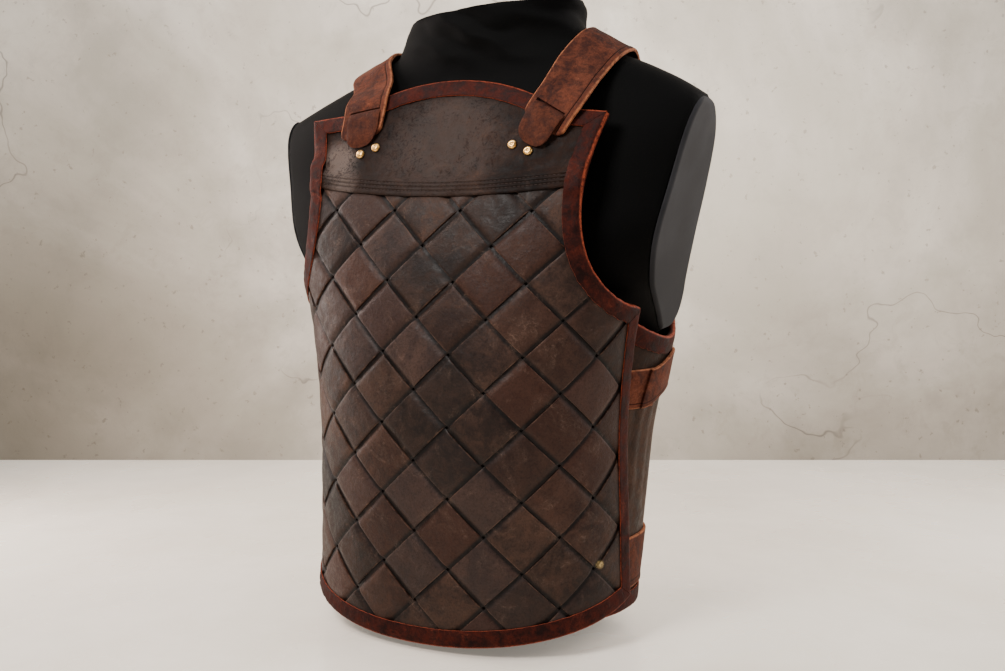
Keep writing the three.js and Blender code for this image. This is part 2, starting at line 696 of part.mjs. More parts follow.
for (const runsRight of [true, false]) {
  let number = 1;
  for (let index = LATTICE.first; index < LATTICE.last; index += 1) {
    const whole = stripGeometry(runsRight, index);
    if (!whole) continue;
    const cut = solidOf(facingOut(whole)).intersect(plaitCutter);
    if (cut.isEmpty()) continue;
    const strip = largestBody(cut);
    if (strip.volume() < SMALLEST_STRIP_VOLUME) continue;
    const name = `strip_${runsRight ? 'falling' : 'rising'}_${String(number).padStart(2, '0')}`;
    add(name, bent(strip, onFront), 'strip');
    number += 1;
  }
}

const bibRows = BIB_ROWS.map(({ above, height }) => ({ at: (u) => bibEdgeAt(u) + above, height }));
const bibSheet = frontSheet(bibRows, (row) => row.height, (row) => row.height + BIB_THICKNESS);
add('bib', bent(solidOf(facingOut(bibSheet)).intersect(frontCutter), onFront), 'bib');

// Front bindings
function frontStackTop(u, v) {
  const above = v - bibEdgeAt(u);
  if (above < 0) return PLAIT_TOP;
  return (above < BIB_OVERLAP ? BIB_OVER_PLAIT : BIB_OVER_BACKING) + BIB_THICKNESS;
}
function frontHeights(u, v) {
  const near = [-CUT_SPACING, 0, CUT_SPACING].map((step) => frontStackTop(u, v + step));
  return { low: BACKING.inner, high: Math.max(...near) };
}
for (const name of Object.keys(frontCut)) {
  const binding = bindingGeometry(frontCut, name, onFront, FRONT_BINDING, frontHeights);
  add(`front_binding_${name}`, binding, 'binding');
}

// Back panel with its wings and bindings
const backCut = backStretches();
const backCutter = cutter(outlineOf(backCut));
const backSheet = sheetGeometry(BACK_ROWS.map((v) => backColumns.map((u) => ({
  top: whileFlat(u, v, BACK_THICKNESS),
  bottom: whileFlat(u, v, 0),
}))));
add('back_panel', bent(solidOf(facingOut(backSheet)).intersect(backCutter), onBack), 'back');
const backHeights = () => ({ low: 0, high: BACK_THICKNESS });
for (const name of ['hem', 'armhole_left', 'top', 'armhole_right']) {
  add(`back_binding_${name}`, bindingGeometry(backCut, name, onBack, BACK_BINDING, backHeights), 'binding');
}

// Straps, tabs and rivets, on the wearer's left and right
const flipped = (point, side) => new THREE.Vector3(side * point.x, point.y, point.z);
function ribbonGeometry(rows, thickness, side, spacing) {
  const edges = [0, 1, 2].map((k) => new THREE.CatmullRomCurve3(rows.map((row) => row[k])));
  const count = Math.round(edges[1].getLength() / spacing);
  const grid = Array.from({ length: count + 1 }, (_, step) => {
    const t = step / count;
    const points = edges.map((edge) => edge.getPoint(t));
    const along = edges[1].getTangent(t);
    const normal = new THREE.Vector3().subVectors(points[2], points[0]).cross(along).normalize();
    return points.map((point) => ({
      top: flipped(point.clone().addScaledVector(normal, thickness / 2), side),
      bottom: flipped(point.clone().addScaledVector(normal, -thickness / 2), side),
    }));
  });
  return sheetGeometry(grid);
}

function panelRow({ u, v, turn, lift, width }, place) {
  const angle = THREE.MathUtils.degToRad(turn);
  return [-0.5, 0, 0.5].map((k) => place(
    u + k * width * Math.cos(angle),
    v - k * width * Math.sin(angle),
    lift,
  ));
}

function freeRow({ x, y, z, tilt, width }, side) {
  const angle = THREE.MathUtils.degToRad(tilt);
  return [-0.5, 0, 0.5].map((k) => {
    const across = x + k * width * Math.cos(angle);
    return new THREE.Vector3(across, y, z - k * width * Math.sin(angle) + leaning(side * across, z));
  });
}

// How far the leaning shoulders lift a point, and how far they shift it.
const leanShare = (z) => THREE.MathUtils.smoothstep(z, SHOULDER_LEAN.from, SHOULDER_LEAN.to);
function leaning(x, z) {
  return SHOULDER_LEAN.slope * x * leanShare(z);
}

const onBackLeft = (s, z, height) => onBack(-s, z, height);
const shoulderRows = (name, side) => [
  ...STRAP_ON_BIB[name].map((row) => panelRow(row, onFront)),
  ...STRAP_OVER_SHOULDER[name].map((row) => freeRow(row, side)),
  ...STRAP_ON_BACK.map((row) => panelRow(row, onBackLeft)),
];
const tabRows = TAB_ON_BIB.map((row) => panelRow(row, onFront));

// A domed rivet whose axis stands on a surface.
function rivetGeometry(place, u, v, height, side) {
  const profile = RIVET_PROFILE.map((row) => new THREE.Vector2(row.radius, row.height));
  const rivet = new THREE.LatheGeometry(profile, RIVET_SIDES);
  const base = place(u, v, height);
  const axis = place(u, v, height + 1).sub(base).normalize();
  rivet.applyQuaternion(new THREE.Quaternion().setFromUnitVectors(new THREE.Vector3(0, 1, 0), axis));
  rivet.translate(base.x, base.y, base.z);
  if (side < 0) rivet.scale(-1, 1, 1);
  return rivet;
}

// A band on a stretch of the back panel's wing, which may rise on its way to the back.
function wingBand({ from, to, low, high, inner, outer, rise }, side) {
  const rows = [high, low];
  const climb = (u) => rise * (1 - THREE.MathUtils.smoothstep(Math.abs(u), CLIMB.from, CLIMB.to));
  const ends = side > 0 ? [from, to] : [-to, -from];
  const columns = columnsBetween(backColumns, ...ends, SHORT_STEP);
  return sheetGeometry(rows.map((z) => columns.map((u) => ({
    top: onBack(u, z + climb(u), outer),
    bottom: onBack(u, z + climb(u), inner),
  }))));
}

for (const [name, side] of [['left', 1], ['right', -1]]) {
  const strap = ribbonGeometry(shoulderRows(name, side), STRAP_THICKNESS, side, STRAP_STEP);
  add(`shoulder_strap_${name}`, strap, 'strap');
  add(`shoulder_tab_${name}`, ribbonGeometry(tabRows, TAB_THICKNESS, side, TAB_STEP), 'strap');
  FRONT_RIVETS.forEach(({ u, v }, k) => {
    const height = BIB_OVER_BACKING + BIB_THICKNESS + SEAT_GAP;
    add(`bib_rivet_${name}_${k + 1}`, rivetGeometry(onFront, u, v, height, side), 'brass');
  });
  BACK_RIVETS.forEach(({ u, v }, k) => {
    const height = BACK_THICKNESS + SEAT_GAP + STRAP_THICKNESS + SEAT_GAP;
    add(`back_rivet_${name}_${k + 1}`, rivetGeometry(onBackLeft, u, v, height, side), 'brass');
  });
  for (const [band, size] of Object.entries(SIDE_BANDS)) {
    add(`${band}_${name}`, wingBand(size, -side), 'strap');
  }
}

// Dress form: a lofted torso, cut flat at the arms, with a plate on each cut
function formLoop(z) {
  const value = (column) => ringValue(FORM_RINGS, column, z);
  return Array.from({ length: FORM_COLUMNS }, (_, k) => {
    const angle = (k / FORM_COLUMNS) * 2 * Math.PI;
    const half = Math.sin(angle) > 0 ? 'back' : 'front';
    const power = 2 / value(`${half}Power`);
    const depth = value(half);
    const x = Math.sign(Math.cos(angle)) * Math.abs(Math.cos(angle)) ** power * value('halfWidth');
    const y = Math.sign(Math.sin(angle)) * Math.abs(Math.sin(angle)) ** power * depth;
    const sway = SHOULDER_LEAN.sway * leanShare(z);
    return new THREE.Vector3(x + sway, value('centre') + y, z + leaning(x, z));
  });
}
const formWhole = solidOf(facingOut(loftGeometry(FORM_LEVELS.map(formLoop))));

// A thick slab parallel to an arm cut, from one distance outside it to another.
function armSlab(side, from, to) {
  const slab = new THREE.BoxGeometry(to - from, SLAB_SIZE, SLAB_SIZE);
  slab.translate((from + to) / 2, 0, 0);
  slab.rotateY(Math.atan(ARM_PLATE.lean));
  slab.translate(ARM_PLATE.x, 0, ARM_PLATE.z);
  if (side < 0) slab.rotateZ(Math.PI);
  return solidOf(slab);
}
const neckBlock = new THREE.BoxGeometry(SLAB_SIZE, SLAB_SIZE, SLAB_SIZE);
neckBlock.translate(0, 0, SLAB_SIZE / 2);
neckBlock.rotateY(-Math.atan(NECK_CUT.slope));
neckBlock.translate(0, 0, NECK_CUT.z);
let torso = formWhole.subtract(solidOf(neckBlock));
for (const [name, side] of [['left', 1], ['right', -1]]) {
  torso = torso.subtract(armSlab(side, 0, SLAB_SIZE / 2));
  const plate = formWhole.intersect(armSlab(side, SEAT_GAP, ARM_PLATE.thickness));
  add(`arm_plate_${name}`, geometryFrom(largestBody(plate)), 'plate');
}
add('dress_form', geometryFrom(torso), 'form');

// The origin is the middle of the bounding box's base.
const middle = new THREE.Box3().setFromObject(armour).getCenter(new THREE.Vector3());
armour.position.set(-middle.x, -middle.y, 0);

export default armour;
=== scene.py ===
"""The look of a plaited leather armour on its torso dress form."""

import math

import bpy
import numpy as np
from mathutils import Matrix, Vector


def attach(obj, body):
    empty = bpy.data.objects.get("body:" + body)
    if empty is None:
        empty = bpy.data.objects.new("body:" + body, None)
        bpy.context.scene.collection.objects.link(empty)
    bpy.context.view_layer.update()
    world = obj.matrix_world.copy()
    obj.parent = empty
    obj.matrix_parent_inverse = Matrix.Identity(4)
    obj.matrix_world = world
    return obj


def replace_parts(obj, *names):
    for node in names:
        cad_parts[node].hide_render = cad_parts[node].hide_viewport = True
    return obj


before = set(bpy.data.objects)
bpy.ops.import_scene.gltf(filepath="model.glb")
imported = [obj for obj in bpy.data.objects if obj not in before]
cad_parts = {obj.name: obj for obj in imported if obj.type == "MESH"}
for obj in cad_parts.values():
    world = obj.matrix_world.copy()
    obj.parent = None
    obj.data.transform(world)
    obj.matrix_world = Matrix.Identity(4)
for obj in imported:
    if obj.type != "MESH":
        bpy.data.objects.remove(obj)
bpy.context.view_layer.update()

# Sizes below are in millimetres, in the frame of the part before it is centred.
CENTRING = np.array([-1.6, 3.09, 0.0])
MM = 0.001

# Camera
CAMERA = {
    "place": (626.7, -1179.6, 439.9),
    "azimuth": 27.061,
    "elevation": 5.981,
    "lens": 45.17,
    "sensor": 36.0,
    "near": 0.01,
}


def camera_axes():
    """The camera's right, up and backward directions."""
    az = math.radians(CAMERA["azimuth"])
    el = math.radians(CAMERA["elevation"])
    back = Vector((math.sin(az) * math.cos(el), -math.cos(az) * math.cos(el), math.sin(el)))
    right = Vector((math.cos(az), math.sin(az), 0.0))
    return right, back.cross(right), back


def add_camera():
    right, up, back = camera_axes()
    data = bpy.data.cameras.new("camera")
    data.lens = CAMERA["lens"]
    data.sensor_width = CAMERA["sensor"]
    data.clip_start = CAMERA["near"]
    camera = bpy.data.objects.new("camera", data)
    bpy.context.scene.collection.objects.link(camera)
    place = (np.array(CAMERA["place"]) + CENTRING) * MM
    turned = Matrix((right, up, back)).transposed().to_4x4()
    camera.matrix_world = Matrix.Translation(Vector(place)) @ turned
    bpy.context.scene.camera = camera


add_camera()

# Plait, panels and bindings, as in the part
HEM_HEIGHT = 8.0
HALF_WIDTH, HALF_HEIGHT = 37.1, 35.1
CENTRE_COLUMN, LATTICE_TOP = 1.1, 427.6
PITCH = 2 * HALF_WIDTH * HALF_HEIGHT / math.hypot(HALF_WIDTH, HALF_HEIGHT)
STRIP_GAP, STRIP_LIFT = 3.0, 1.1
STRIP_OUTER, STRIP_INNER = 1.2, -0.85
EDGE = STRIP_GAP / 2 / PITCH
FIRST_STRIP, LAST_STRIP = -8, 12
BIB_THICKNESS, BIB_OVER_PLAIT, BIB_OVER_BACKING = 1.9, 2.6, -2.3
BIB_PEAK, ARCH_RADIUS, ARCH_HALF_WIDTH = 567.0, 216.0, 118.0
BIB_CORNER = (167.0, 527.0)
SIDE_EDGE, SIDE_TOP, HEM_RISE = 233.0, 331.0, 40.0
ARMHOLE = [(167, 527), (158, 490), (153, 450), (155, 411), (165, 377), (184, 352), (208, 337), (233, 331)]
BACKING_INNER = -4.5
FRONT_RINGS = {
    "z": [-30, 0, 110, 220, 330, 440, 550, 600],
    "half_width": [179, 178, 173, 171, 187, 226, 277, 300],
    "front": [137, 137, 137, 138, 129, 104, 56, 28],
    "power": [2.25, 2.28, 2.35, 2.44, 2.54, 2.65, 2.78, 2.85],
}
BACK_RINGS = {
    "z": [0, 60, 130, 210, 300, 380, 460, 540, 600],
    "centre": [10, 17, 25, 35, 45, 45, 38, 30, 30],
    "half_width": [161, 164, 168, 173, 188, 200, 208, 214, 214],
    "front": [130, 130, 124, 115, 122, 126, 126, 110, 100],
    "back": [96, 99, 101, 95, 86, 88, 92, 84, 70],
    "power": [2.3, 2.35, 2.4, 2.5, 2.6, 2.6, 2.6, 2.6, 2.6],
}
BACK_FRONT_POWER = 2.1
BACK_THICKNESS = 2.2
BACK_HEM, BACK_PEAK, BACK_WING_END = 26.0, 540.0, 300.0
BACK_ARMHOLE = [(152, 522), (149, 455), (153, 400), (166, 356), (186, 324), (208, 306), (232, 303),
                (262, 310), (300, 326)]
QUARTER_STEPS, NORMAL_STEP = 72, 1.5
PROFILE_STEP, PROFILE_TOP = 5.0, 641


def ring_value(rings, column, z):
    """One column of a ring table at heights z, by a smooth curve through the rows."""
    zs = np.array(rings["z"], float)
    values = np.array(rings[column], float)
    last = len(zs) - 1
    z = np.clip(z, zs[0], zs[last])
    k = np.clip(np.searchsorted(zs, z) - 1, 0, last - 1)
    before, after = np.maximum(k - 1, 0), np.minimum(k + 2, last)
    span = zs[k + 1] - zs[k]
    t = (z - zs[k]) / span
    slope_start = (values[k + 1] - values[before]) / (zs[k + 1] - zs[before])
    slope_end = (values[after] - values[k]) / (zs[after] - zs[k])
    t2, t3 = t * t, t * t * t
    return ((2 * t3 - 3 * t2 + 1) * values[k] + (t3 - 2 * t2 + t) * span * slope_start
            + (3 * t2 - 2 * t3) * values[k + 1] + (t3 - t2) * span * slope_end)


def quarter_point(side, depth, power, distance):
    """Walks quarters of superellipses from their noses: across, along, and the rest of the distance."""
    angle = np.arange(QUARTER_STEPS + 1) / QUARTER_STEPS * math.pi / 2
    exponent = 2 / power[:, None]
    across = side[:, None] * np.sin(angle)[None] ** exponent
    along = depth[:, None] * (1 - np.clip(np.cos(angle), 0, 1)[None] ** exponent)
    walked = np.cumsum(np.hypot(np.diff(across, axis=1), np.diff(along, axis=1)), axis=1)
    walked = np.concatenate([np.zeros((len(side), 1)), walked], axis=1)
    k = np.clip((walked < distance[:, None]).sum(axis=1) - 1, 0, QUARTER_STEPS - 1)
    rows = np.arange(len(side))
    t = (distance - walked[rows, k]) / (walked[rows, k + 1] - walked[rows, k])
    rest = np.maximum(distance - walked[:, -1], 0)
    t = np.clip(t, 0, 1)
    return (across[rows, k] + t * (across[rows, k + 1] - across[rows, k]),
            along[rows, k] + t * (along[rows, k + 1] - along[rows, k]), rest)


profile_z = np.arange(0, PROFILE_TOP, PROFILE_STEP)
profile_front = ring_value(FRONT_RINGS, "front", profile_z)
profile_v = np.concatenate([[0], np.cumsum(np.hypot(PROFILE_STEP, np.diff(profile_front)))])


def front_surface(u, v):
    """The worn front panel: u runs across from its middle, v up from its hem."""
    z = np.where(v <= 0, v, np.interp(v, profile_v, profile_z))
    depth = ring_value(FRONT_RINGS, "front", z)
    side = ring_value(FRONT_RINGS, "half_width", z)
    across, along, rest = quarter_point(side, depth, ring_value(FRONT_RINGS, "power", z), np.abs(u))
    return np.stack([np.sign(u) * across, along + rest - depth, z + HEM_HEIGHT], axis=-1)


def back_surface(s, z):
    """The worn back panel: s runs round from its middle, z is the height."""
    side = ring_value(BACK_RINGS, "half_width", z)
    centre = ring_value(BACK_RINGS, "centre", z)
    depth = ring_value(BACK_RINGS, "back", z)
    front = ring_value(BACK_RINGS, "front", z)
    across, along, rest = quarter_point(side, depth, ring_value(BACK_RINGS, "power", z), np.abs(s))
    angle = np.clip(rest / front, 0, math.pi / 2)
    beyond = rest > 0
    across = np.where(beyond, side * np.cos(angle) ** (2 / BACK_FRONT_POWER), across)
    y = np.where(beyond, centre - front * np.sin(angle) ** (2 / BACK_FRONT_POWER), centre + depth - along)
    return np.stack([-np.sign(s) * across, y, z], axis=-1)


def lifted(surface, a, b, height):
    """Points at a height over a surface. a, b and height are arrays of one shape."""
    a, b, height = np.broadcast_arrays(np.asarray(a, float), b, height)
    shape = a.shape
    a, b = a.ravel(), np.asarray(b, float).ravel()
    across = surface(a + NORMAL_STEP, b) - surface(a - NORMAL_STEP, b)
    upward = surface(a, b + NORMAL_STEP) - surface(a, b - NORMAL_STEP)
    normal = np.cross(across, upward)
    normal /= np.linalg.norm(normal, axis=1, keepdims=True)
    return (surface(a, b) + normal * np.asarray(height, float).ravel()[:, None]).reshape(*shape, 3)


def on_front(u, v, height):
    return lifted(front_surface, u, v, height)


def on_back(s, z, height):
    return lifted(back_surface, s, z, height)


def smooth(x, low, high):
    """Rises smoothly from 0 at low to 1 at high."""
    t = np.clip((np.asarray(x, float) - low) / (high - low), 0, 1)
    return t * t * (3 - 2 * t)


def ripple(u, v, seed, scale):
    """A smooth seeded wave field between about -1 and 1. scale is its wavelength."""
    rng = np.random.default_rng(seed)
    total = 0
    for octave in range(5):
        angle = rng.uniform(0, math.pi)
        size = scale * rng.uniform(0.55, 1.3) / (1 + 0.45 * octave)
        travel = u * math.cos(angle) + v * math.sin(angle)
        total = total + np.sin(travel * 2 * math.pi / size + rng.uniform(0, 6.3)) * rng.uniform(0.5, 1)
    return total / 3


# Outlines of the flat cuts
BIB_EDGE_HEIGHT, BIB_EDGE_RISE = 441, 0.0005
CURVE_DIVISIONS = 40
OUTLINE_STEP = 3.0


def bib_edge(u):
    """Height of the bib's lower edge on the panel."""
    return BIB_EDGE_HEIGHT + BIB_EDGE_RISE * u * u


def lengths_along(line):
    """How far along a line of points each of them lies."""
    return np.concatenate([[0], np.cumsum(np.linalg.norm(np.diff(line, axis=0), axis=1))])


def spline(points):
    """A uniform Catmull-Rom curve through points, evenly spaced."""
    p = np.array(points, float)
    padded = np.vstack([p[0], p, p[-1]])
    dense = []
    for k in range(len(p) - 1):
        p0, p1, p2, p3 = padded[k:k + 4]
        t = np.linspace(0, 1, CURVE_DIVISIONS, endpoint=False)[:, None]
        v0, v1 = (p2 - p0) / 2, (p3 - p1) / 2
        cubic = (2 * p1 - 2 * p2 + v0 + v1) * t ** 3
        dense.append(cubic + (-3 * p1 + 3 * p2 - 2 * v0 - v1) * t ** 2 + v0 * t + p1)
    return evenly(np.vstack(dense + [p[-1:]]))


def evenly(path):
    """The same path with its points OUTLINE_STEP apart."""
    path = np.asarray(path, float)
    walked = lengths_along(path)
    s = np.linspace(0, walked[-1], max(2, round(walked[-1] / OUTLINE_STEP)) + 1)
    return np.stack([np.interp(s, walked, path[:, k]) for k in range(path.shape[1])], axis=-1)


def mirrored(path):
    """The same path on the other side, still anticlockwise."""
    return (path * [-1, 1])[::-1]


def front_stretches():
    """The stretches of the front panel's outline, anticlockwise."""
    u = np.linspace(-SIDE_EDGE, SIDE_EDGE, 160)
    arch_u = np.linspace(ARCH_HALF_WIDTH, -ARCH_HALF_WIDTH, 80)
    arch = np.stack([arch_u, BIB_PEAK - ARCH_RADIUS + np.sqrt(ARCH_RADIUS ** 2 - arch_u ** 2)], axis=-1)
    top = np.vstack([[BIB_CORNER], arch, [(-BIB_CORNER[0], BIB_CORNER[1])]])
    side = evenly([(SIDE_EDGE, HEM_RISE), (SIDE_EDGE, SIDE_TOP)])
    armhole = spline(ARMHOLE)[::-1]
    return {
        "hem": evenly(np.stack([u, HEM_RISE * (u / SIDE_EDGE) ** 2], axis=-1)),
        "side_left": side,
        "armhole_left": armhole,
        "top": evenly(top),
        "armhole_right": mirrored(armhole),
        "side_right": mirrored(side),
    }


def back_stretches():
    """Seen from behind, the wearer's right is at positive u."""
    corner = BACK_ARMHOLE[0]
    u = np.linspace(corner[0], -corner[0], 90)
    armhole = spline(BACK_ARMHOLE)[::-1]
    end = evenly([(BACK_WING_END, BACK_HEM), (BACK_WING_END, BACK_ARMHOLE[-1][1])])
    top = np.stack([u, BACK_PEAK - (BACK_PEAK - corner[1]) * (u / corner[0]) ** 2], axis=-1)
    return {
        "hem": evenly([(-BACK_WING_END, BACK_HEM), (BACK_WING_END, BACK_HEM)]),
        "end_right": end,
        "armhole_right": armhole,
        "top": evenly(top),
        "armhole_left": mirrored(armhole),
        "end_left": mirrored(end),
    }


FRONT = front_stretches()
BACK = back_stretches()


def middles(grid):
    return (grid[:-1, :-1] + grid[1:, :-1] + grid[:-1, 1:] + grid[1:, 1:]) / 4


def depth_inside(stretches, u, v):
    """Distance from the middle of each cell of a grid to the outline, negative outside."""
    outline = np.vstack([path[:-1:2] for path in stretches.values()])
    u, v = middles(u), middles(v)
    shape = np.shape(u)
    p = np.stack([np.ravel(u), np.ravel(v)], axis=-1)
    nearest = np.full(len(p), 1e9)
    inside = np.zeros(len(p), bool)
    for a, b in zip(outline, np.roll(outline, -1, axis=0)):
        edge = b - a
        t = np.clip(((p - a) @ edge) / (edge @ edge), 0, 1)
        nearest = np.minimum(nearest, np.linalg.norm(p - a - t[:, None] * edge, axis=1))
        crosses = (a[1] > p[:, 1]) != (b[1] > p[:, 1])
        if a[1] != b[1]:
            inside ^= crosses & (p[:, 0] < a[0] + (p[:, 1] - a[1]) / (b[1] - a[1]) * edge[0])
    return np.where(inside, nearest, -nearest).reshape(shape)


# Materials
def srgb(*rgb):
    return tuple((c / 255) ** 2.2 for c in rgb) + (1.0,)


class Nodes:
    """Builds the node tree of one material."""

    def __init__(self, name):
        self.material = bpy.data.materials.new(name)
        self.material.use_nodes = True
        self.tree = self.material.node_tree
        self.shader = self.tree.nodes["Principled BSDF"]

    def add(self, kind, inputs=None, **settings):
        node = self.tree.nodes.new(kind)
        for key, value in settings.items():
            setattr(node, key, value)
        for key, value in (inputs or {}).items():
            self.put(node.inputs[key], value)
        return node

    def put(self, socket, value):
        if isinstance(value, bpy.types.NodeSocket):
            self.tree.links.new(value, socket)
        else:
            socket.default_value = value

    def coordinates(self, output="Object"):
        return self.add("ShaderNodeTexCoord").outputs[output]

    def noise(self, scale, detail=6.0, roughness=0.55, distortion=0.0):
        inputs = {"Vector": self.coordinates(), "Scale": scale, "Detail": detail, "Roughness": roughness,
                  "Distortion": distortion}
        return self.add("ShaderNodeTexNoise", inputs).outputs[0]

    def math(self, operation, a, b=0.0):
        return self.add("ShaderNodeMath", {0: a, 1: b}, operation=operation).outputs[0]

    def product(self, a, b):
        return self.math("MULTIPLY", a, b)

    def distance(self, a, b):
        return self.math("ABSOLUTE", self.math("SUBTRACT", a, b))

    def along(self, a, b, operation):
        return self.add("ShaderNodeVectorMath", {0: a, 1: b}, operation=operation).outputs["Value"]

    def across_uv(self):
        return self.add("ShaderNodeSeparateXYZ", {0: self.coordinates("UV")}).outputs[1]

    def ramp(self, value, low, high, to_low=0.0, to_high=1.0):
        return self.add("ShaderNodeMapRange", {0: value, 1: low, 2: high, 3: to_low, 4: to_high},
                        interpolation_type="SMOOTHSTEP").outputs[0]

    def mix(self, factor, a, b, blend="MIX"):
        node = self.add("ShaderNodeMix", data_type="RGBA", blend_type=blend)
        self.put(node.inputs[0], factor)
        self.put(node.inputs[6], a)
        self.put(node.inputs[7], b)
        return node.outputs[2]

    def bump(self, height, strength, distance, normal=None):
        inputs = {"Height": height, "Strength": strength, "Distance": distance}
        if normal:
            inputs["Normal"] = normal
        return self.add("ShaderNodeBump", inputs).outputs[0]

    def finish(self, colour, roughness, normal=None, **more):
        self.put(self.shader.inputs["Base Color"], colour)
        self.put(self.shader.inputs["Roughness"], roughness)
        if normal:
            self.put(self.shader.inputs["Normal"], normal)
        for key, value in more.items():
            self.put(self.shader.inputs[key.replace("_", " ")], value)
        return self.material


def leather(name, dark, light, scuff, tint=None, wear=0.5, rough=(0.42, 0.7), edges=None, spots=(),
            mottling=0.45, shine=0.24):
    """Mottled worn leather. tint colours the squares of the plait, with painted shade where they dip, and
    spots are chipped or rubbed.
    """
    n = Nodes(name)
    broad = n.noise(16, 5, 0.6, 0.8)
    mottle = n.noise(95, 9, 0.7, 0.4)
    fine = n.noise(480, 7, 0.7)
    mixed = n.math("ADD", n.product(broad, 1 - mottling), n.product(mottle, mottling))
    colour = n.mix(n.ramp(mixed, 0.38, 0.62), dark, light)
    if tint:
        colour = tint(n, colour)
    colour = n.mix(n.ramp(fine, 0.42, 0.7, 0.0, 0.75), colour, (0.38, 0.34, 0.32, 1.0), "MULTIPLY")
    pits = n.ramp(n.noise(150, 7, 0.75, 1.0), 0.58, 0.7, 0.0, 0.6)
    colour = n.mix(pits, colour, (0.3, 0.26, 0.24, 1.0), "MULTIPLY")
    patches = n.ramp(n.noise(24, 9, 0.78, 0.9), 0.5, 0.68)
    flecks = n.ramp(n.noise(170, 9, 0.82, 1.6), 0.48, 0.64)
    flaky = n.math("ADD", n.product(flecks, 0.85), 0.15)
    colour = n.mix(n.product(n.product(patches, flaky), wear), colour, scuff)
    if edges:
        colour = edges(n, colour)
    for place, radius, strength, tone in spots:
        away = n.along(n.coordinates(), place, "DISTANCE")
        ragged = n.math("ADD", away, n.product(n.math("SUBTRACT", flecks, 0.5), radius * 0.8))
        colour = n.mix(n.ramp(ragged, radius, 0.0, 0.0, strength), colour, tone)
    cells = n.add("ShaderNodeTexVoronoi", {"Vector": n.coordinates(), "Scale": 620.0}).outputs[0]
    normal = n.bump(cells, 0.16, 0.0005)
    normal = n.bump(n.noise(260, 8, 0.62), 0.5, 0.0011, normal)
    normal = n.bump(n.noise(34, 5, 0.6), 0.4, 0.003, normal)
    return n.finish(colour, n.ramp(mottle, 0.3, 0.7, *rough), normal, Specular_IOR_Level=shine)


def square_tint(n, colour):
    """Gives each square of the plait its own tone, painted shade where it dips under the crossing strips,
    and wear along its edges.
    """
    split = n.add("ShaderNodeSeparateXYZ", {0: n.coordinates("UV")})
    corner = [n.math("FLOOR", split.outputs[k]) for k in (0, 1)]
    cell = n.add("ShaderNodeCombineXYZ", {0: corner[0], 1: corner[1]})
    chance = n.add("ShaderNodeTexWhiteNoise", {"Vector": cell.outputs[0]}, noise_dimensions="3D")
    parts = n.add("ShaderNodeSeparateColor", {0: chance.outputs["Color"]})
    shade = n.ramp(parts.outputs[0], 0.0, 1.0, 0.55, 1.45)
    grey = n.add("ShaderNodeCombineColor", {0: shade, 1: shade, 2: shade}).outputs[0]
    colour = n.mix(1.0, colour, grey, "MULTIPLY")
    colour = n.mix(n.ramp(parts.outputs[1], 0.5, 1.0, 0.0, 0.5), colour, srgb(58, 46, 44))
    colour = n.mix(n.ramp(parts.outputs[2], 0.6, 1.0, 0.0, 0.6), colour, srgb(60, 35, 26))
    from_end, from_side = [
        n.math("SUBTRACT", 0.5, n.distance(n.math("FRACT", split.outputs[k]), 0.5)) for k in (0, 1)]
    # painted shade: each square darkens towards its ends, where its strip dips under the crossing strips
    dip_shade = n.ramp(from_end, 0.085, 0.02, 0.0, 0.93)
    colour = n.mix(dip_shade, colour, srgb(14, 7, 5))
    edge = n.product(n.ramp(from_side, 0.05, 0.03), n.ramp(n.noise(70, 8, 0.75, 0.8), 0.45, 0.6))
    edge = n.product(edge, n.math("SUBTRACT", 1.0, dip_shade))
    return n.mix(n.product(edge, 0.4), colour, srgb(118, 88, 72))


def fold_highlight_and_wear(n, colour):
    """A painted highlight along a binding's fold and its inner edge, broken up like rubbed wear. UV y runs
    across the binding.
    """
    across = n.across_uv()
    rub = n.noise(240, 9, 0.75, 0.9)
    # painted highlight: lighter along the fold and the inner lip, patchy like rubbed leather
    fold = n.ramp(n.distance(across, 0.40), 0.075, 0.02)
    lip = n.ramp(across, 0.05, 0.015)
    mask = n.product(n.math("MAXIMUM", fold, lip), n.ramp(rub, 0.32, 0.62))
    return n.mix(n.product(mask, 0.85), colour, srgb(160, 74, 50))


GROOVE_PLACE = 0.872


def strap_wear_and_groove_shade(n, colour):
    """Paler worn edges of a strap, and painted shade in the groove beside its folded edge. UV y runs
    across it.
    """
    across = n.across_uv()
    mask = n.product(n.ramp(n.distance(across, 0.5), 0.455, 0.495), n.ramp(n.noise(160, 6, 0.7), 0.3, 0.6))
    # painted shade: the groove beside the fold is darkened
    groove = n.product(n.ramp(n.distance(across, GROOVE_PLACE), 0.022, 0.006), 0.9)
    colour = n.mix(groove, colour, srgb(30, 14, 11))
    return n.mix(n.product(mask, 0.65), colour, srgb(178, 112, 78))


def jersey(name, tone, sheen):
    """Fine knitted cloth of one tone, with broad soft patches."""
    n = Nodes(name)
    knit = n.noise(900, 3, 0.6)
    patch = n.noise(9, 4, 0.5)
    colour = n.mix(n.ramp(patch, 0.35, 0.7), srgb(*tone), srgb(*[min(255, c * 1.5) for c in tone]))
    normal = n.bump(knit, 0.35, 0.0005)
    return n.finish(colour, 0.7, normal, Sheen_Weight=sheen, Sheen_Roughness=0.4, Specular_IOR_Level=0.06)


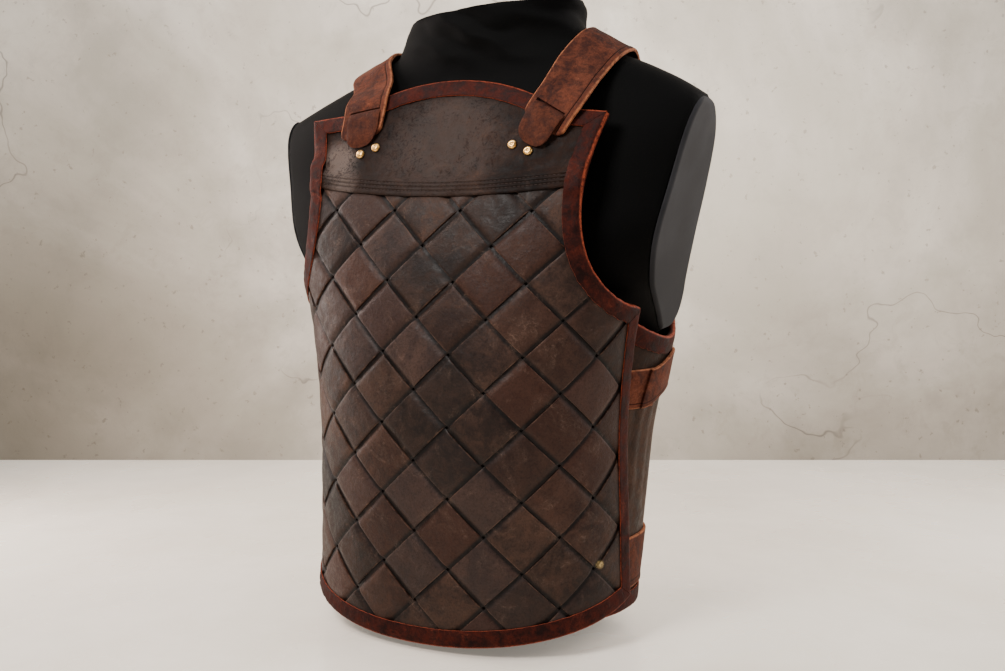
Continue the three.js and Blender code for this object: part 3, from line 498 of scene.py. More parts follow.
CHIPS = [((0.1623, -0.0599, 0.0880), 0.0042, 0.8, srgb(186, 160, 108))]
BIB_RUBS = [((-0.1237, -0.0835, 0.4845), 0.022, 0.4, srgb(128, 112, 104)),
            ((-0.1081, -0.0942, 0.4586), 0.018, 0.3, srgb(118, 102, 94)),
            ((0.0000, -0.0859, 0.505), 0.07, 0.16, srgb(110, 96, 90))]
SUEDE = {"rough": (0.65, 0.9), "edges": strap_wear_and_groove_shade, "mottling": 0.6, "shine": 0.12}
MATERIALS = {
    "strip": leather("strip leather", srgb(29, 19, 15), srgb(58, 41, 33), srgb(106, 84, 72),
                     square_tint, 0.6, spots=CHIPS, shine=0.2),
    "bib": leather("bib leather", srgb(17, 10, 8), srgb(40, 27, 21), srgb(84, 63, 53),
                   None, 0.75, spots=BIB_RUBS, rough=(0.55, 0.8), shine=0.12),
    "binding": leather("binding leather", srgb(29, 11, 9), srgb(64, 27, 20), srgb(122, 58, 42),
                       None, 0.65, rough=(0.55, 0.8), edges=fold_highlight_and_wear, mottling=0.75, shine=0.1),
    "strap": leather("strap suede", srgb(48, 24, 18), srgb(94, 53, 39), srgb(136, 82, 60),
                     None, 0.65, **SUEDE),
    "tab": leather("tab suede", srgb(42, 21, 16), srgb(80, 45, 33), srgb(114, 68, 50),
                   None, 0.6, **SUEDE),
    "back": leather("back leather", srgb(34, 23, 17), srgb(66, 46, 35), srgb(94, 68, 52),
                    None, 0.5, shine=0.12),
    "backing": leather("backing leather", srgb(13, 8, 6), srgb(20, 13, 10), srgb(24, 17, 14), None, 0.1),
    "form": jersey("black jersey", (4, 4, 4), 0.0),
    "plate": jersey("grey jersey", (34, 34, 36), 0.06),
}


def brass():
    n = Nodes("brass")
    tarnish = n.noise(700, 5, 0.6)
    colour = n.mix(n.ramp(tarnish, 0.5, 0.7), srgb(232, 184, 112), srgb(176, 116, 60))
    return n.finish(colour, 0.3, n.bump(tarnish, 0.06, 0.0002), Metallic=1.0)


def thread():
    n = Nodes("thread")
    return n.finish(n.mix(n.noise(300), srgb(30, 20, 17), srgb(62, 46, 40)), 0.8)


MATERIALS["brass"] = brass()
MATERIALS["thread"] = thread()
pieces = {}


# Meshes
def make_piece(name, points, faces, uv, finish, sharp=35.0):
    mesh = bpy.data.meshes.new(name)
    points = (np.asarray(points, float) + CENTRING) * MM
    mesh.from_pydata(points.tolist(), [], [list(map(int, f)) for f in faces])
    mesh.update()
    if uv is not None:
        layer = mesh.uv_layers.new(name="UVMap")
        corners = np.empty(len(mesh.loops), int)
        mesh.loops.foreach_get("vertex_index", corners)
        layer.data.foreach_set("uv", np.asarray(uv, float)[corners].ravel())
    mesh.polygons.foreach_set("use_smooth", [True] * len(mesh.polygons))
    mesh.set_sharp_from_angle(angle=math.radians(sharp))
    mesh.materials.append(MATERIALS[finish])
    piece = bpy.data.objects.new(name, mesh)
    bpy.context.scene.collection.objects.link(piece)
    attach(piece, "root")
    pieces[name] = piece
    return piece


def sheet_faces(rows, columns, keep):
    """Quads of both faces and the rim of a sheet. keep says which cells of the grid there are."""
    index = np.arange(rows * columns).reshape(rows, columns)
    corners = np.stack([index[:-1, :-1], index[:-1, 1:], index[1:, 1:], index[1:, :-1]], axis=-1)
    count = rows * columns
    faces = [corners[keep], corners[keep][:, ::-1] + count]
    padded = np.zeros((rows + 1, columns + 1), bool)
    padded[1:-1, 1:-1] = keep
    neighbours = [padded[:-2, 1:-1], padded[1:-1, 2:], padded[2:, 1:-1], padded[1:-1, :-2]]
    for side, neighbour in enumerate(neighbours):
        rim = keep & ~neighbour
        a, b = corners[rim][:, side], corners[rim][:, (side + 1) % 4]
        faces.append(np.stack([b, a, a + count, b + count], axis=-1))
    return np.vstack(faces)


def tube_faces(rows, columns):
    """Quads round a grid whose columns close on themselves, and a face at each end."""
    index = np.arange(rows * columns).reshape(rows, columns)
    following = np.roll(index, -1, axis=1)
    quads = np.stack([index[:-1], following[:-1], following[1:], index[1:]], axis=-1)
    return quads.reshape(-1, 4).tolist() + [index[0][::-1].tolist(), index[-1].tolist()]


def sheet_piece(name, top, bottom, uv, finish, keep=None, slot=None):
    rows, columns = top.shape[:2]
    if keep is None:
        keep = np.ones((rows - 1, columns - 1), bool)
    faces = sheet_faces(rows, columns, keep)
    points = np.vstack([top.reshape(-1, 3), bottom.reshape(-1, 3)])
    used, new_index = np.unique(faces, return_inverse=True)
    faces = new_index.reshape(faces.shape)
    first = points[used][faces[0]]
    normal = np.cross(first[1] - first[0], first[2] - first[0])
    if normal @ (top.reshape(-1, 3)[0] - bottom.reshape(-1, 3)[0]) < 0:
        faces = faces[:, ::-1]
    uv = np.vstack([uv.reshape(-1, 2), uv.reshape(-1, 2)])[used]
    return make_piece(name, points[used], faces, uv, finish)


CAD_STRIPS = sorted(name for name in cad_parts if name.startswith("strip_"))
UNDER_BINDING = 5.0
CELL_AREA, LEAST_STRIP_AREA = 12.0, 350
ACROSS = np.array([EDGE, EDGE + 0.006, EDGE + 0.02, 0.08, 0.16, 0.26, 0.38, 0.5])
ACROSS = np.concatenate([ACROSS, 1 - ACROSS[-2::-1]])
ALONG = np.array([0, 0.03, 0.06, 0.09, 0.125, 0.17, 0.23, 0.31, 0.4, 0.5])
ALONG = np.concatenate([ALONG, 1 - ALONG[-2:0:-1]])


def plait_strip(runs_right, index):
    """One strip of the plait, finer than the part's, with rounded edges."""
    cells = np.arange(FIRST_STRIP, LAST_STRIP + 1)
    along, across = np.meshgrid((cells[:, None] + ALONG).ravel(), ACROSS, indexing="ij")
    i, j = (along, index + across) if runs_right else (index + across, along)
    u = (i - j - CENTRE_COLUMN) * HALF_WIDTH
    v = LATTICE_TOP - (i + j) * HALF_HEIGHT
    over = np.where((np.floor(along) + index) % 2 == 0, 1.0, -1.0) * (1 if runs_right else -1)
    from_gap = np.minimum(along % 1, 1 - along % 1) * PITCH
    dip = 1 - smooth(from_gap, 0, 7.5)
    middle = np.where(over > 0, STRIP_LIFT * (1 - 2 * dip), -STRIP_LIFT)
    side = np.minimum(across - EDGE, 1 - EDGE - across) * PITCH
    pillow = 0.5 * smooth(side, 0, 12) * (over > 0) * smooth(from_gap, 2, 14)
    rounding = -0.45 * (1 - smooth(side, 0, 1.0))
    wave = 0.22 * ripple(u, v, 40 + index + 50 * runs_right, 38)
    keep = depth_inside(FRONT, u, v) > UNDER_BINDING
    keep &= middles(v) < bib_edge(middles(u)) + 11
    if keep.sum() * CELL_AREA < LEAST_STRIP_AREA:
        return
    under_bib = 0.6 * smooth(v - bib_edge(u), -4, 0)
    top = on_front(u, v, middle + STRIP_OUTER + pillow + rounding + wave - under_bib)
    bottom = on_front(u, v, middle + STRIP_INNER)
    uv = np.stack([along + 20, across + index + 20], axis=-1)
    name = f"plait_{'falling' if runs_right else 'rising'}_{index - FIRST_STRIP + 1:02d}"
    piece = sheet_piece(name, top, bottom, uv, "strip", keep)


for runs_right in (True, False):
    for index in range(FIRST_STRIP, LAST_STRIP + 1):
        plait_strip(runs_right, index)
first_strip = next(piece for name, piece in pieces.items() if name.startswith("plait_"))
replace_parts(first_strip, *CAD_STRIPS)
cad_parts["front_backing"].data.materials.clear()
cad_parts["front_backing"].data.materials.append(MATERIALS["backing"])


# Bib
BIB_STITCH_ROWS = (5.2, 9.2, 13.2)


def bib_base(above):
    """The bib lies on the plait at its lower edge, and on the backing higher up."""
    return BIB_OVER_PLAIT + (BIB_OVER_BACKING - BIB_OVER_PLAIT) * smooth(above, 13.5, 24)


def bib_top(u, above):
    groove = sum(0.85 * np.exp(-((above - row) / 0.8) ** 2) for row in BIB_STITCH_ROWS)
    wave = 0.7 * ripple(u, above, 7, 90) * smooth(above, 16, 40) + 0.2 * ripple(u, above, 8, 26)
    return bib_base(above) + BIB_THICKNESS - groove + wave - 0.6 * (1 - smooth(above, 0, 1))


def make_bib():
    above = np.concatenate([[0, 0.4, 1, 2, 3.2], np.arange(4.2, 15, 0.5), np.arange(15, 142, 2.6)])
    u, above = np.meshgrid(np.linspace(-168, 168, 130), above)
    v = bib_edge(u) + above
    keep = depth_inside(FRONT, u, v) > UNDER_BINDING
    top, bottom = on_front(u, v, bib_top(u, above)), on_front(u, v, bib_base(above))
    piece = sheet_piece("bib_leather", top, bottom, np.stack([u, v], axis=-1) / 100, "bib", keep)
    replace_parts(piece, "bib")


make_bib()


# Bindings
# A column gives the distance in from the edge, whether it belongs to the outer
# or the inner leaf, and the height over that leaf's seat.
BINDING_SECTION = [
    (16.0, "outer", 0.2), (15.8, "outer", 1.0), (15.0, "outer", 1.35), (13.0, "outer", 1.3),
    (10.5, "outer", 1.5), (8.0, "outer", 1.65), (5.5, "outer", 1.75), (3.0, "outer", 1.8),
    (1.0, "outer", 1.6), (-0.4, "outer", 1.1), (-1.3, "outer", 0.2), (-1.8, "outer", -1.6),
    (-1.8, "inner", 1.2), (-1.2, "inner", -0.5), (0.2, "inner", -1.3), (3.0, "inner", -1.4),
    (9.0, "inner", -1.4), (16.0, "inner", -1.4), (16.0, "inner", 0.0), (8.0, "inner", 0.0),
    (-0.3, "inner", 0.0), (-0.3, "outer", 0.0), (8.0, "outer", 0.0),
]
CORNER_GAP = 0.3


def front_seats(u, v):
    """Heights that the outer and the inner leaf lie at."""
    above = v - bib_edge(u)
    over_bib = BIB_OVER_PLAIT + BIB_THICKNESS
    plait = STRIP_LIFT + 0.9
    outer = plait + (over_bib - plait) * smooth(above, -12, -2)
    outer = outer + (BIB_OVER_BACKING + BIB_THICKNESS - over_bib) * smooth(above, 20, 34)
    return outer + 0.9, np.full_like(outer, BACKING_INNER - 1.3)


def back_seats(u, v):
    return np.full_like(u, BACK_THICKNESS + 1.2), np.full_like(u, -1.2)


def turn_between(first, second):
    """Tangent of half the left turn from the end of one path to the start of the next."""
    a, b = first[-1] - first[-2], second[1] - second[0]
    return math.tan(math.atan2(a[0] * b[1] - a[1] * b[0], a @ b) / 2)


def binding_points(path, section_w, start_turn, end_turn, seed, rough_ends):
    """Flat points of a binding, drawn back at both ends to the mitre lines."""
    walked = lengths_along(path)
    along = np.gradient(path, walked, axis=0)
    along /= np.linalg.norm(along, axis=1, keepdims=True)
    s, w = np.meshgrid(walked, section_w, indexing="ij")
    rough = 0.35 + 0.9 * sum(smooth(np.abs(s - end * walked[-1]), 110, 40) for end in rough_ends)
    wander = rough * (0.6 * ripple(s, 0 * s, seed, 11) + 0.5 * ripple(s, 0 * s, seed + 3, 27))
    w = w + wander * (np.clip((w - 10) / 6, 0, 1) + 0.5 * np.clip(-w, 0, 1))
    s = np.maximum(s, w * start_turn + CORNER_GAP)
    s = np.minimum(s, walked[-1] - w * end_turn - CORNER_GAP)
    at = [np.interp(s, walked, path[:, k]) for k in (0, 1)]
    dx, dy = (np.interp(s, walked, along[:, k]) for k in (0, 1))
    for k, (direction, end) in enumerate(((along[0], s < 0), (along[-1], s > walked[-1]))):
        beyond = np.where(s < 0, s, s - walked[-1])
        at[0] = np.where(end, at[0] + beyond * direction[0], at[0])
        at[1] = np.where(end, at[1] + beyond * direction[1], at[1])
    return at[0] - dy * w, at[1] + dx * w, s, walked[-1]


ROUGH_ENDS = {
    "front_binding_armhole_left_leather": [0],
    "front_binding_armhole_right_leather": [1],
    "back_binding_armhole_left_leather": [0, 1],
    "back_binding_armhole_right_leather": [0, 1],
}


def binding(name, stretches, key, place, seats, seed):
    names = list(stretches)
    k = names.index(key)
    path = stretches[key]
    before, after = stretches[names[k - 1]], stretches[names[(k + 1) % len(names)]]
    w, leaf, over = (np.array(column) for column in zip(*BINDING_SECTION))
    turns = turn_between(before, path), turn_between(path, after)
    u, v, s, length = binding_points(path, w, *turns, seed, ROUGH_ENDS.get(name, []))
    high, low = seats(u, v)
    pucker = 0.34 * ripple(s * 3, w[None] * 1.2, seed, 46) + 0.2 * ripple(s, w[None], seed + 1, 7)
    lump = np.where((w < 13) & (w > -1) & (over > 0.9), 1.0, 0.3)
    raised = pucker * lump[None] * (over > 0)[None]
    points = place(u, v, np.where(leaf == "outer", high, low) + over + raised)
    rows, columns = s.shape
    across = np.broadcast_to(np.arange(columns) / (columns + 2), s.shape)
    uv = np.stack([s / 40, across], axis=-1).reshape(-1, 2)
    faces = tube_faces(rows, columns)
    piece = make_piece(name, points.reshape(-1, 3), faces, uv, "binding", sharp=50)
    return piece


for number, key in enumerate(FRONT):
    node, seed = f"front_binding_{key}", 100 + 5 * number
    piece = binding(f"{node}_leather", FRONT, key, on_front, front_seats, seed)
    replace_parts(piece, node)
for number, key in enumerate(("hem", "armhole_left", "top", "armhole_right")):
    node, seed = f"back_binding_{key}", 200 + 5 * number
    piece = binding(f"{node}_leather", BACK, key, on_back, back_seats, seed)
    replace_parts(piece, node)


# Back panel
def make_back_panel():
    s, z = np.meshgrid(np.linspace(-300, 300, 150), np.linspace(BACK_HEM, BACK_PEAK, 110))
    depth = depth_inside(BACK, s, z)
    keep = (depth > UNDER_BINDING - 1) | (np.abs(middles(s)) > 280) & (depth > 0)
    wing = smooth(np.abs(s), 190, 225) * smooth(z, 110, 160) * (1 - smooth(z, 236, 262))
    broad = 0.4 * ripple(s, z * 0.5, 21, 80)
    folds = 0.7 * np.sin(s * 0.34 + z * 0.012) + 0.5 * ripple(s, z * 0.12, 22, 24)
    wave = np.maximum(broad + wing * folds, -0.9)
    top, bottom = on_back(s, z, BACK_THICKNESS + wave), on_back(s, z, wave * 0)
    uv = np.stack([s, z], axis=-1) / 100
    piece = sheet_piece("back_panel_leather", top, bottom, uv, "back", keep)
    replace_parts(piece, "back_panel")


make_back_panel()


# Straps. A row on the bib is u, v, turn, lift and width, one over the shoulder is
# x, y, z, tilt and width, and one on the back is s, z and lift.
STRAP_ON_BIB = {
    1: [(104.5, 513, 32, 2.2, 52), (113, 529, 31, 5.6, 52), (123, 546, 30, 7.6, 52)],
    -1: [(100, 506, 9, 1.7, 50), (98.5, 526, 10, 4.6, 50), (98, 544, 11, 6.7, 50)],
}
STRAP_OVER_SHOULDER = {
    1: [(130, -39, 567.5, 29, 52), (140, -14, 588.5, 34, 51), (142, 14, 596, 31, 51),
        (134, 50, 588, 28, 51), (122, 92, 562, 14, 50)],
    -1: [(107, -43, 565, 13, 50), (124, -17, 586.5, 21, 51), (131, 14, 597, 23, 51),
         (125, 50, 588.5, 25, 51), (114, 92, 562, 14, 50)],
}
SLIT = {1: 20.0, -1: 27.0, "half_width": 1.5, "centre": 0.46, "reach": 0.34}
STRAP_ON_BACK = [(108, 534, 9), (107, 516, 7.9), (106, 498, 4.2), (106, 474, 3.9)]
TAB_ON_BIB = {
    1: [(95, 495, 27, 0.9, 33), (97.5, 501, 27, 4.4, 34.5), (102.5, 511, 27, 7.4, 36.5),
        (108.5, 522, 28, 9.3, 37), (112, 528.6, 29, 7.6, 37), (113, 530.6, 29, 4.4, 36)],
    -1: [(96, 496, 14, 0.9, 34), (96, 503, 14, 4.2, 35.5), (95.5, 514, 12, 6.8, 37.5),
         (96, 526, 11, 8.3, 38), (96, 532.4, 10, 6.4, 38), (96, 534.4, 10, 2.8, 37)],
}
LEAN = {"slope": 0.05, "sway": 6.0, "from": 470, "to": 600}
STRAP_WIDTH, STRAP_CORNER, STRAP_HALF = 50, 9.0, 1.3
TAB_WIDTH, TAB_CORNER, TAB_HALF = 35.0, 14.0, 1.0


def leaning(x, z):
    """How much higher the leaning form's left shoulder is."""
    return LEAN["slope"] * x * smooth(z, LEAN["from"], LEAN["to"])


def panel_row(u, v, turn, lift, width, place):
    angle = math.radians(turn)
    k = np.array([-0.5, 0, 0.5]) * width
    return place(u + k * math.cos(angle), v - k * math.sin(angle), lift)


def free_row(x, y, z, tilt, width, side):
    angle = math.radians(tilt)
    k = np.array([-0.5, 0, 0.5]) * width
    across = x + k * math.cos(angle)
    height = z - k * math.sin(angle) + leaning(side * across, z)
    return np.stack([across, np.full(3, float(y)), height], axis=-1)


def curve_through(points):
    """A centripetal Catmull-Rom curve."""
    p = np.asarray(points, float)
    p = np.vstack([2 * p[0] - p[1], p, 2 * p[-1] - p[-2]])
    dense = []
    for k in range(len(p) - 3):
        p0, p1, p2, p3 = p[k:k + 4]
        d0, d1, d2 = (np.linalg.norm(q) ** 0.5 for q in (p1 - p0, p2 - p1, p3 - p2))
        t1 = ((p1 - p0) / d0 - (p2 - p0) / (d0 + d1) + (p2 - p1) / d1) * d1
        t2 = ((p2 - p1) / d1 - (p3 - p1) / (d1 + d2) + (p3 - p2) / d2) * d1
        t = np.linspace(0, 1, CURVE_DIVISIONS, endpoint=False)[:, None]
        square, cubic = -3 * p1 + 3 * p2 - 2 * t1 - t2, 2 * p1 - 2 * p2 + t1 + t2
        dense.append(p1 + t1 * t + square * t ** 2 + cubic * t ** 3)
    return np.vstack(dense + [p[-2:-1]])


def ribbon_grid(rows, steps, across):
    """Middle surface of a strap and its normals, on a grid of steps and across, 0 to 1."""
    edges = [curve_through([row[k] for row in rows]) for k in range(3)]
    count = len(edges[0])
    t = np.linspace(0, count - 1, steps)
    edges = [np.stack([np.interp(t, np.arange(count), c) for c in e.T], axis=-1) for e in edges]
    c = np.asarray(across)[None, :, None]
    low = edges[0][:, None] + (edges[1] - edges[0])[:, None] * np.clip(2 * c, 0, 1)
    grid = low + (edges[2] - edges[1])[:, None] * np.clip(2 * c - 1, 0, 1)
    along = np.gradient(edges[1], axis=0)
    normal = np.cross(edges[2] - edges[0], along)
    normal /= np.linalg.norm(normal, axis=1, keepdims=True)
    return grid, normal[:, None]


def round_end(grid, across, width, radius, reach=30.0):
    """Draws the first corners of a strap back to an arc."""
    walked = lengths_along(grid[:, len(across) // 2])
    from_edge = np.minimum(np.minimum(across, 1 - across) * width, radius)
    back = radius - np.sqrt(radius ** 2 - (radius - from_edge) ** 2)
    moved = walked[:, None] + back[None] * np.clip(1 - walked / reach, 0, 1)[:, None]
    rounded = grid.copy()
    for j in range(len(across)):
        for k in range(3):
            rounded[:, j, k] = np.interp(moved[:, j], walked, grid[:, j, k])
    return rounded


def strap_across(width):
    """Places across a strap, closer together at its edges."""
    inner = np.array([0, 0.4, 1.2, 3, 5.2, 6, 6.4, 6.8, 7.6, 9, 14, 19])
    inner = inner[inner < width / 2 - 2] / width
    return np.concatenate([inner, [0.5], 1 - inner[::-1]])


def strap_relief(across, width, band_high):
    """Rounded long edges, one of them folded over, with a groove beside the fold."""
    edge = np.minimum(across, 1 - across) * width
    fold = (1 - across if band_high else across) * width
    groove = 0.9 * np.exp(-((fold - 6.4) / 0.6) ** 2)
    return 0.6 * (1 - smooth(fold, 5.4, 7.4)) - groove - 0.9 * (1 - smooth(edge, 0, 1.2))


def strap_surface(rows, steps, width, corner):
    """Middle surface, normals and places across of a strap, and how far along its points lie."""
    across = strap_across(width)
    grid, normal = ribbon_grid(rows, steps, across)
    grid = round_end(grid, across, width, corner)
    return grid, normal, across, lengths_along(grid[:, len(across) // 2])


def strap_leaves(grid, normal, half, relief, side):
    """Upper and lower face of a strap on the given side."""
    flip = np.array([side, 1, 1])
    return (grid + normal * relief) * flip, (grid - normal * half) * flip


def on_back_left(s, z, height):
    return on_back(-s, z, height)


def halfway(values):
    return (values[1:] + values[:-1]) / 2


def shoulder_strap(name, side):
    rows = [panel_row(*row, on_front) for row in STRAP_ON_BIB[side]]
    rows += [free_row(*row, side) for row in STRAP_OVER_SHOULDER[side]]
    rows += [panel_row(s, z, 0, lift, STRAP_WIDTH, on_back_left) for s, z, lift in STRAP_ON_BACK]
    grid, normal, across, walked = strap_surface(rows, 150, STRAP_WIDTH, STRAP_CORNER)
    relief = strap_relief(across, STRAP_WIDTH, side > 0)[None, :, None]
    wave = 0.35 * ripple(walked[:, None], across[None] * STRAP_WIDTH, 31 + side, 42)[..., None]
    end = -0.8 * (1 - smooth(walked, 0, 1.5))[:, None, None]
    leaves = strap_leaves(grid, normal, STRAP_HALF, STRAP_HALF + relief + wave + end, side)
    banded = across if side > 0 else 1 - across
    uv = np.stack(np.broadcast_arrays(walked[:, None] / STRAP_WIDTH, banded[None]), axis=-1)
    w, c = np.meshgrid(halfway(walked), halfway(across), indexing="ij")
    in_slit = np.abs(w - SLIT[side]) < SLIT["half_width"]
    in_slit &= np.abs(c - SLIT["centre"]) < SLIT["reach"]
    piece = sheet_piece(name, *leaves, uv, "strap", ~in_slit)
    return piece


def shoulder_tab(name, side):
    rows = [panel_row(*row, on_front) for row in TAB_ON_BIB[side]]
    grid, normal, across, walked = strap_surface(rows, 50, TAB_WIDTH, TAB_CORNER)
    edge = np.minimum(across, 1 - across) * TAB_WIDTH
    relief = (-0.7 * (1 - smooth(edge, 0, 1.4)) + 0.25 * smooth(edge, 1, 6))[None, :, None]
    leaves = strap_leaves(grid, normal, TAB_HALF, TAB_HALF + relief, side)
    unbanded = 0.04 + 0.78 * across[None]
    uv = np.stack(np.broadcast_arrays(walked[:, None] / STRAP_WIDTH, unbanded), axis=-1)
    piece = sheet_piece(name, *leaves, uv, "tab", slot="strap")
    return piece


for key, side in (("left", 1), ("right", -1)):
    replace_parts(shoulder_strap(f"shoulder_strap_{key}_suede", side), f"shoulder_strap_{key}")
    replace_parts(shoulder_tab(f"shoulder_tab_{key}_suede", side), f"shoulder_tab_{key}")


# Side bands: from, to, low, high, inner, outer, rise
SIDE_BANDS = {
    "side_tab_upper": (228, 304, 234, 274, 2.6, 4.4, 0),
    "side_strap_upper": (108, 252, 234, 274, 5.0, 7.8, 16),
    "side_strap_lower": (108, 276, 46, 100, 2.6, 5.1, 0),
}
CLIMB = (196, 256)


def side_band(name, size, side):
    """A flat strap or tab on the wing. The upper strap climbs onto its tab between CLIMB."""
    start, end, low, high, inner, outer, rise = size
    width = high - low
    across = strap_across(width)
    s, c = np.meshgrid(np.linspace(start, end, 60), across)
    z = high - c * width + rise * (1 - smooth(s, *CLIMB))
    edge = np.minimum(c, 1 - c) * width
    ends = np.minimum(s - start, end - s)
    relief = 0.35 * (1 - smooth(edge, 3, 5)) - 0.7 * (1 - smooth(edge, 0, 1))
    relief -= 0.7 * (1 - smooth(ends, 0, 1.2))
    wave = 0.25 * ripple(s, z * 0.6, 61, 30)
    top = on_back(side * s, z, outer + relief + wave)
    bottom = on_back(side * s, z, inner + 0 * z)
    piece = sheet_piece(name, top, bottom, np.stack([s / STRAP_WIDTH, c], axis=-1), "strap")
    return piece


for band, size in SIDE_BANDS.items():
    for key, side in (("left", -1), ("right", 1)):
        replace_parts(side_band(f"{band}_{key}_suede", size, side), f"{band}_{key}")


# Rivets and stitches. A rivet's profile is its radius and height.
RIVET_PROFILE = [
    (0.0, 2.05), (0.6, 2.1), (1.1, 2.3), (1.5, 2.65), (2.0, 2.9), (2.6, 2.9), (3.2, 2.65),
    (3.8, 2.2), (4.3, 1.55), (4.7, 0.8), (4.85, 0.1), (4.6, -0.4), (0.0, -0.4),
]
FRONT_RIVETS = [(95.3, 488), (77.7, 495)]
BACK_RIVETS = [(94, 484), (118, 484)]
RIVET_SIDES = 28


def frame_at(place, u, v, height, along=(0.0, 1.0)):
    """A point over a surface, with its normal and a direction along the surface."""
    heights = np.array([height, height + 1, height])
    spots = place(np.array([u, u, u + along[0]]), np.array([v, v, v + along[1]]), heights)
    normal = spots[1] - spots[0]
    normal /= np.linalg.norm(normal)
    tangent = spots[2] - spots[0]
    tangent -= normal * (tangent @ normal)
    return spots[0], normal, tangent / np.linalg.norm(tangent)


def rivet_group(name, place, spots, height, nodes):
    points, faces = [], []
    angles = np.arange(RIVET_SIDES) / RIVET_SIDES * 2 * math.pi
    for u, v in spots:
        base, normal, tangent = frame_at(place, u, v, height)
        side = np.cross(normal, tangent)
        start = len(points)
        for radius, rise in RIVET_PROFILE:
            for angle in angles:
                around = tangent * math.cos(angle) + side * math.sin(angle)
                points.append(base + normal * rise + around * max(radius, 0.01))
        for ring in range(len(RIVET_PROFILE) - 1):
            for k in range(RIVET_SIDES):
                following = (k + 1) % RIVET_SIDES
                a, b = start + ring * RIVET_SIDES, start + (ring + 1) * RIVET_SIDES
                faces.append((a + k, b + k, b + following, a + following))
    piece = make_piece(name, points, faces, None, "brass", sharp=62)
    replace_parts(piece, *nodes)


for name, place, spots, height, start in (
        ("front_rivets", on_front, FRONT_RIVETS, BIB_OVER_BACKING + BIB_THICKNESS + 0.9, "bib_rivet"),
        ("back_rivets", on_back, BACK_RIVETS, BACK_THICKNESS + 3.9, "back_rivet")):
    both_sides = [(side * u, v) for side in (1, -1) for u, v in spots]
    nodes = [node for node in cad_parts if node.startswith(start)]
    rivet_group(name, place, both_sides, height, nodes)


def stitches(name, place, spots, size):
    """Small thread stitches. spots holds u, v, height and the flat direction of each."""
    length, thick = size
    ring = np.array([(math.cos(a), math.sin(a)) for a in np.arange(6) / 6 * 2 * math.pi])
    points, faces = [], []
    for u, v, height, direction in spots:
        base, normal, tangent = frame_at(place, u, v, height, direction)
        side = np.cross(normal, tangent)
        start = len(points)
        for along, radius in ((-0.5, 0.3), (-0.25, 1.0), (0.25, 1.0), (0.5, 0.3)):
            for c, s in ring:
                out = (side * c + normal * s) * thick / 2 * radius
                points.append(base + tangent * along * length + out)
        faces += [[start + corner for corner in face] for face in tube_faces(4, 6)]
    make_piece(name, points, faces, None, "thread")


def bib_stitches():
    spots = []
    for row in BIB_STITCH_ROWS:
        for u in np.arange(-134, 134.1, 4.2):
            spots.append((u, bib_edge(u) + row, float(bib_top(u, row)) + 0.2, (1.0, 0.001 * u)))
    stitches("bib_stitches", on_front, spots, (3.2, 0.7))


bib_stitches()

# Dress form
FORM_COLUMNS = ("z", "centre", "half_width", "front", "back", "front_power", "back_power")
FORM_ROWS = [
    (0, 0, 112, 84, 70, 2.2, 2.2), (60, 0, 132, 104, 82, 2.2, 2.2),
    (120, 0, 141, 114, 92, 2.2, 2.2), (180, 0, 142, 115, 99, 2.2, 2.2),
    (240, 4, 146, 119, 102, 2.0, 2.2), (285, 14, 162, 124, 100, 1.8, 2.3),
    (304, 34, 177, 140, 82, 1.4, 2.3), (325, 40, 202, 144, 78, 1.3, 2.3),
    (345, 32, 218, 134, 86, 1.45, 2.3), (365, 20, 229, 118, 98, 1.7, 2.2),
    (410, 6, 246, 92, 112, 2.1, 2.2), (460, 6, 260, 76, 110, 2.1, 2.2),
    (505, 8, 265, 66, 102, 2.1, 2.2), (529, 10, 250, 60, 90, 2.1, 2.2),
    (549, 12, 218, 54, 80, 2.1, 2.2), (567, 14, 180, 50, 74, 2.2, 2.2),
    (584, 16, 140, 51, 70, 2.2, 2.2), (600, 18, 112, 54, 66, 2.1, 2.1),
    (618, 20, 99, 58, 63, 2.1, 2.1), (660, 22, 95, 60, 62, 2.1, 2.1),
]
FORM_RINGS = {name: [row[k] for row in FORM_ROWS] for k, name in enumerate(FORM_COLUMNS)}
NECK_CUT = {"z": 636.0, "slope": 0.09}
ARM_PLATE = {"x": 206.0, "z": 400.0, "lean": 0.225, "thickness": 4.0, "seat": 0.4, "middle": 225}


def arm_plane(z):
    """How far out the slanting cut at the arm is."""
    return ARM_PLATE["x"] + ARM_PLATE["lean"] * (z - ARM_PLATE["z"])


def form_section(z, angle):
    """Points of the form's surface, round a level section that then leans."""
    value = {name: ring_value(FORM_RINGS, name, z) for name in FORM_COLUMNS[1:]}
    rear = np.sin(angle) > 0
    power = 2 / np.where(rear, value["back_power"], value["front_power"])
    depth = np.where(rear, value["back"], value["front"])
    x = np.sign(np.cos(angle)) * np.abs(np.cos(angle)) ** power * value["half_width"]
    y = value["centre"] + np.sign(np.sin(angle)) * np.abs(np.sin(angle)) ** power * depth
    sway = LEAN["sway"] * smooth(z, LEAN["from"], LEAN["to"])
    return np.stack([x + sway, y, z + leaning(x, z)], axis=-1)


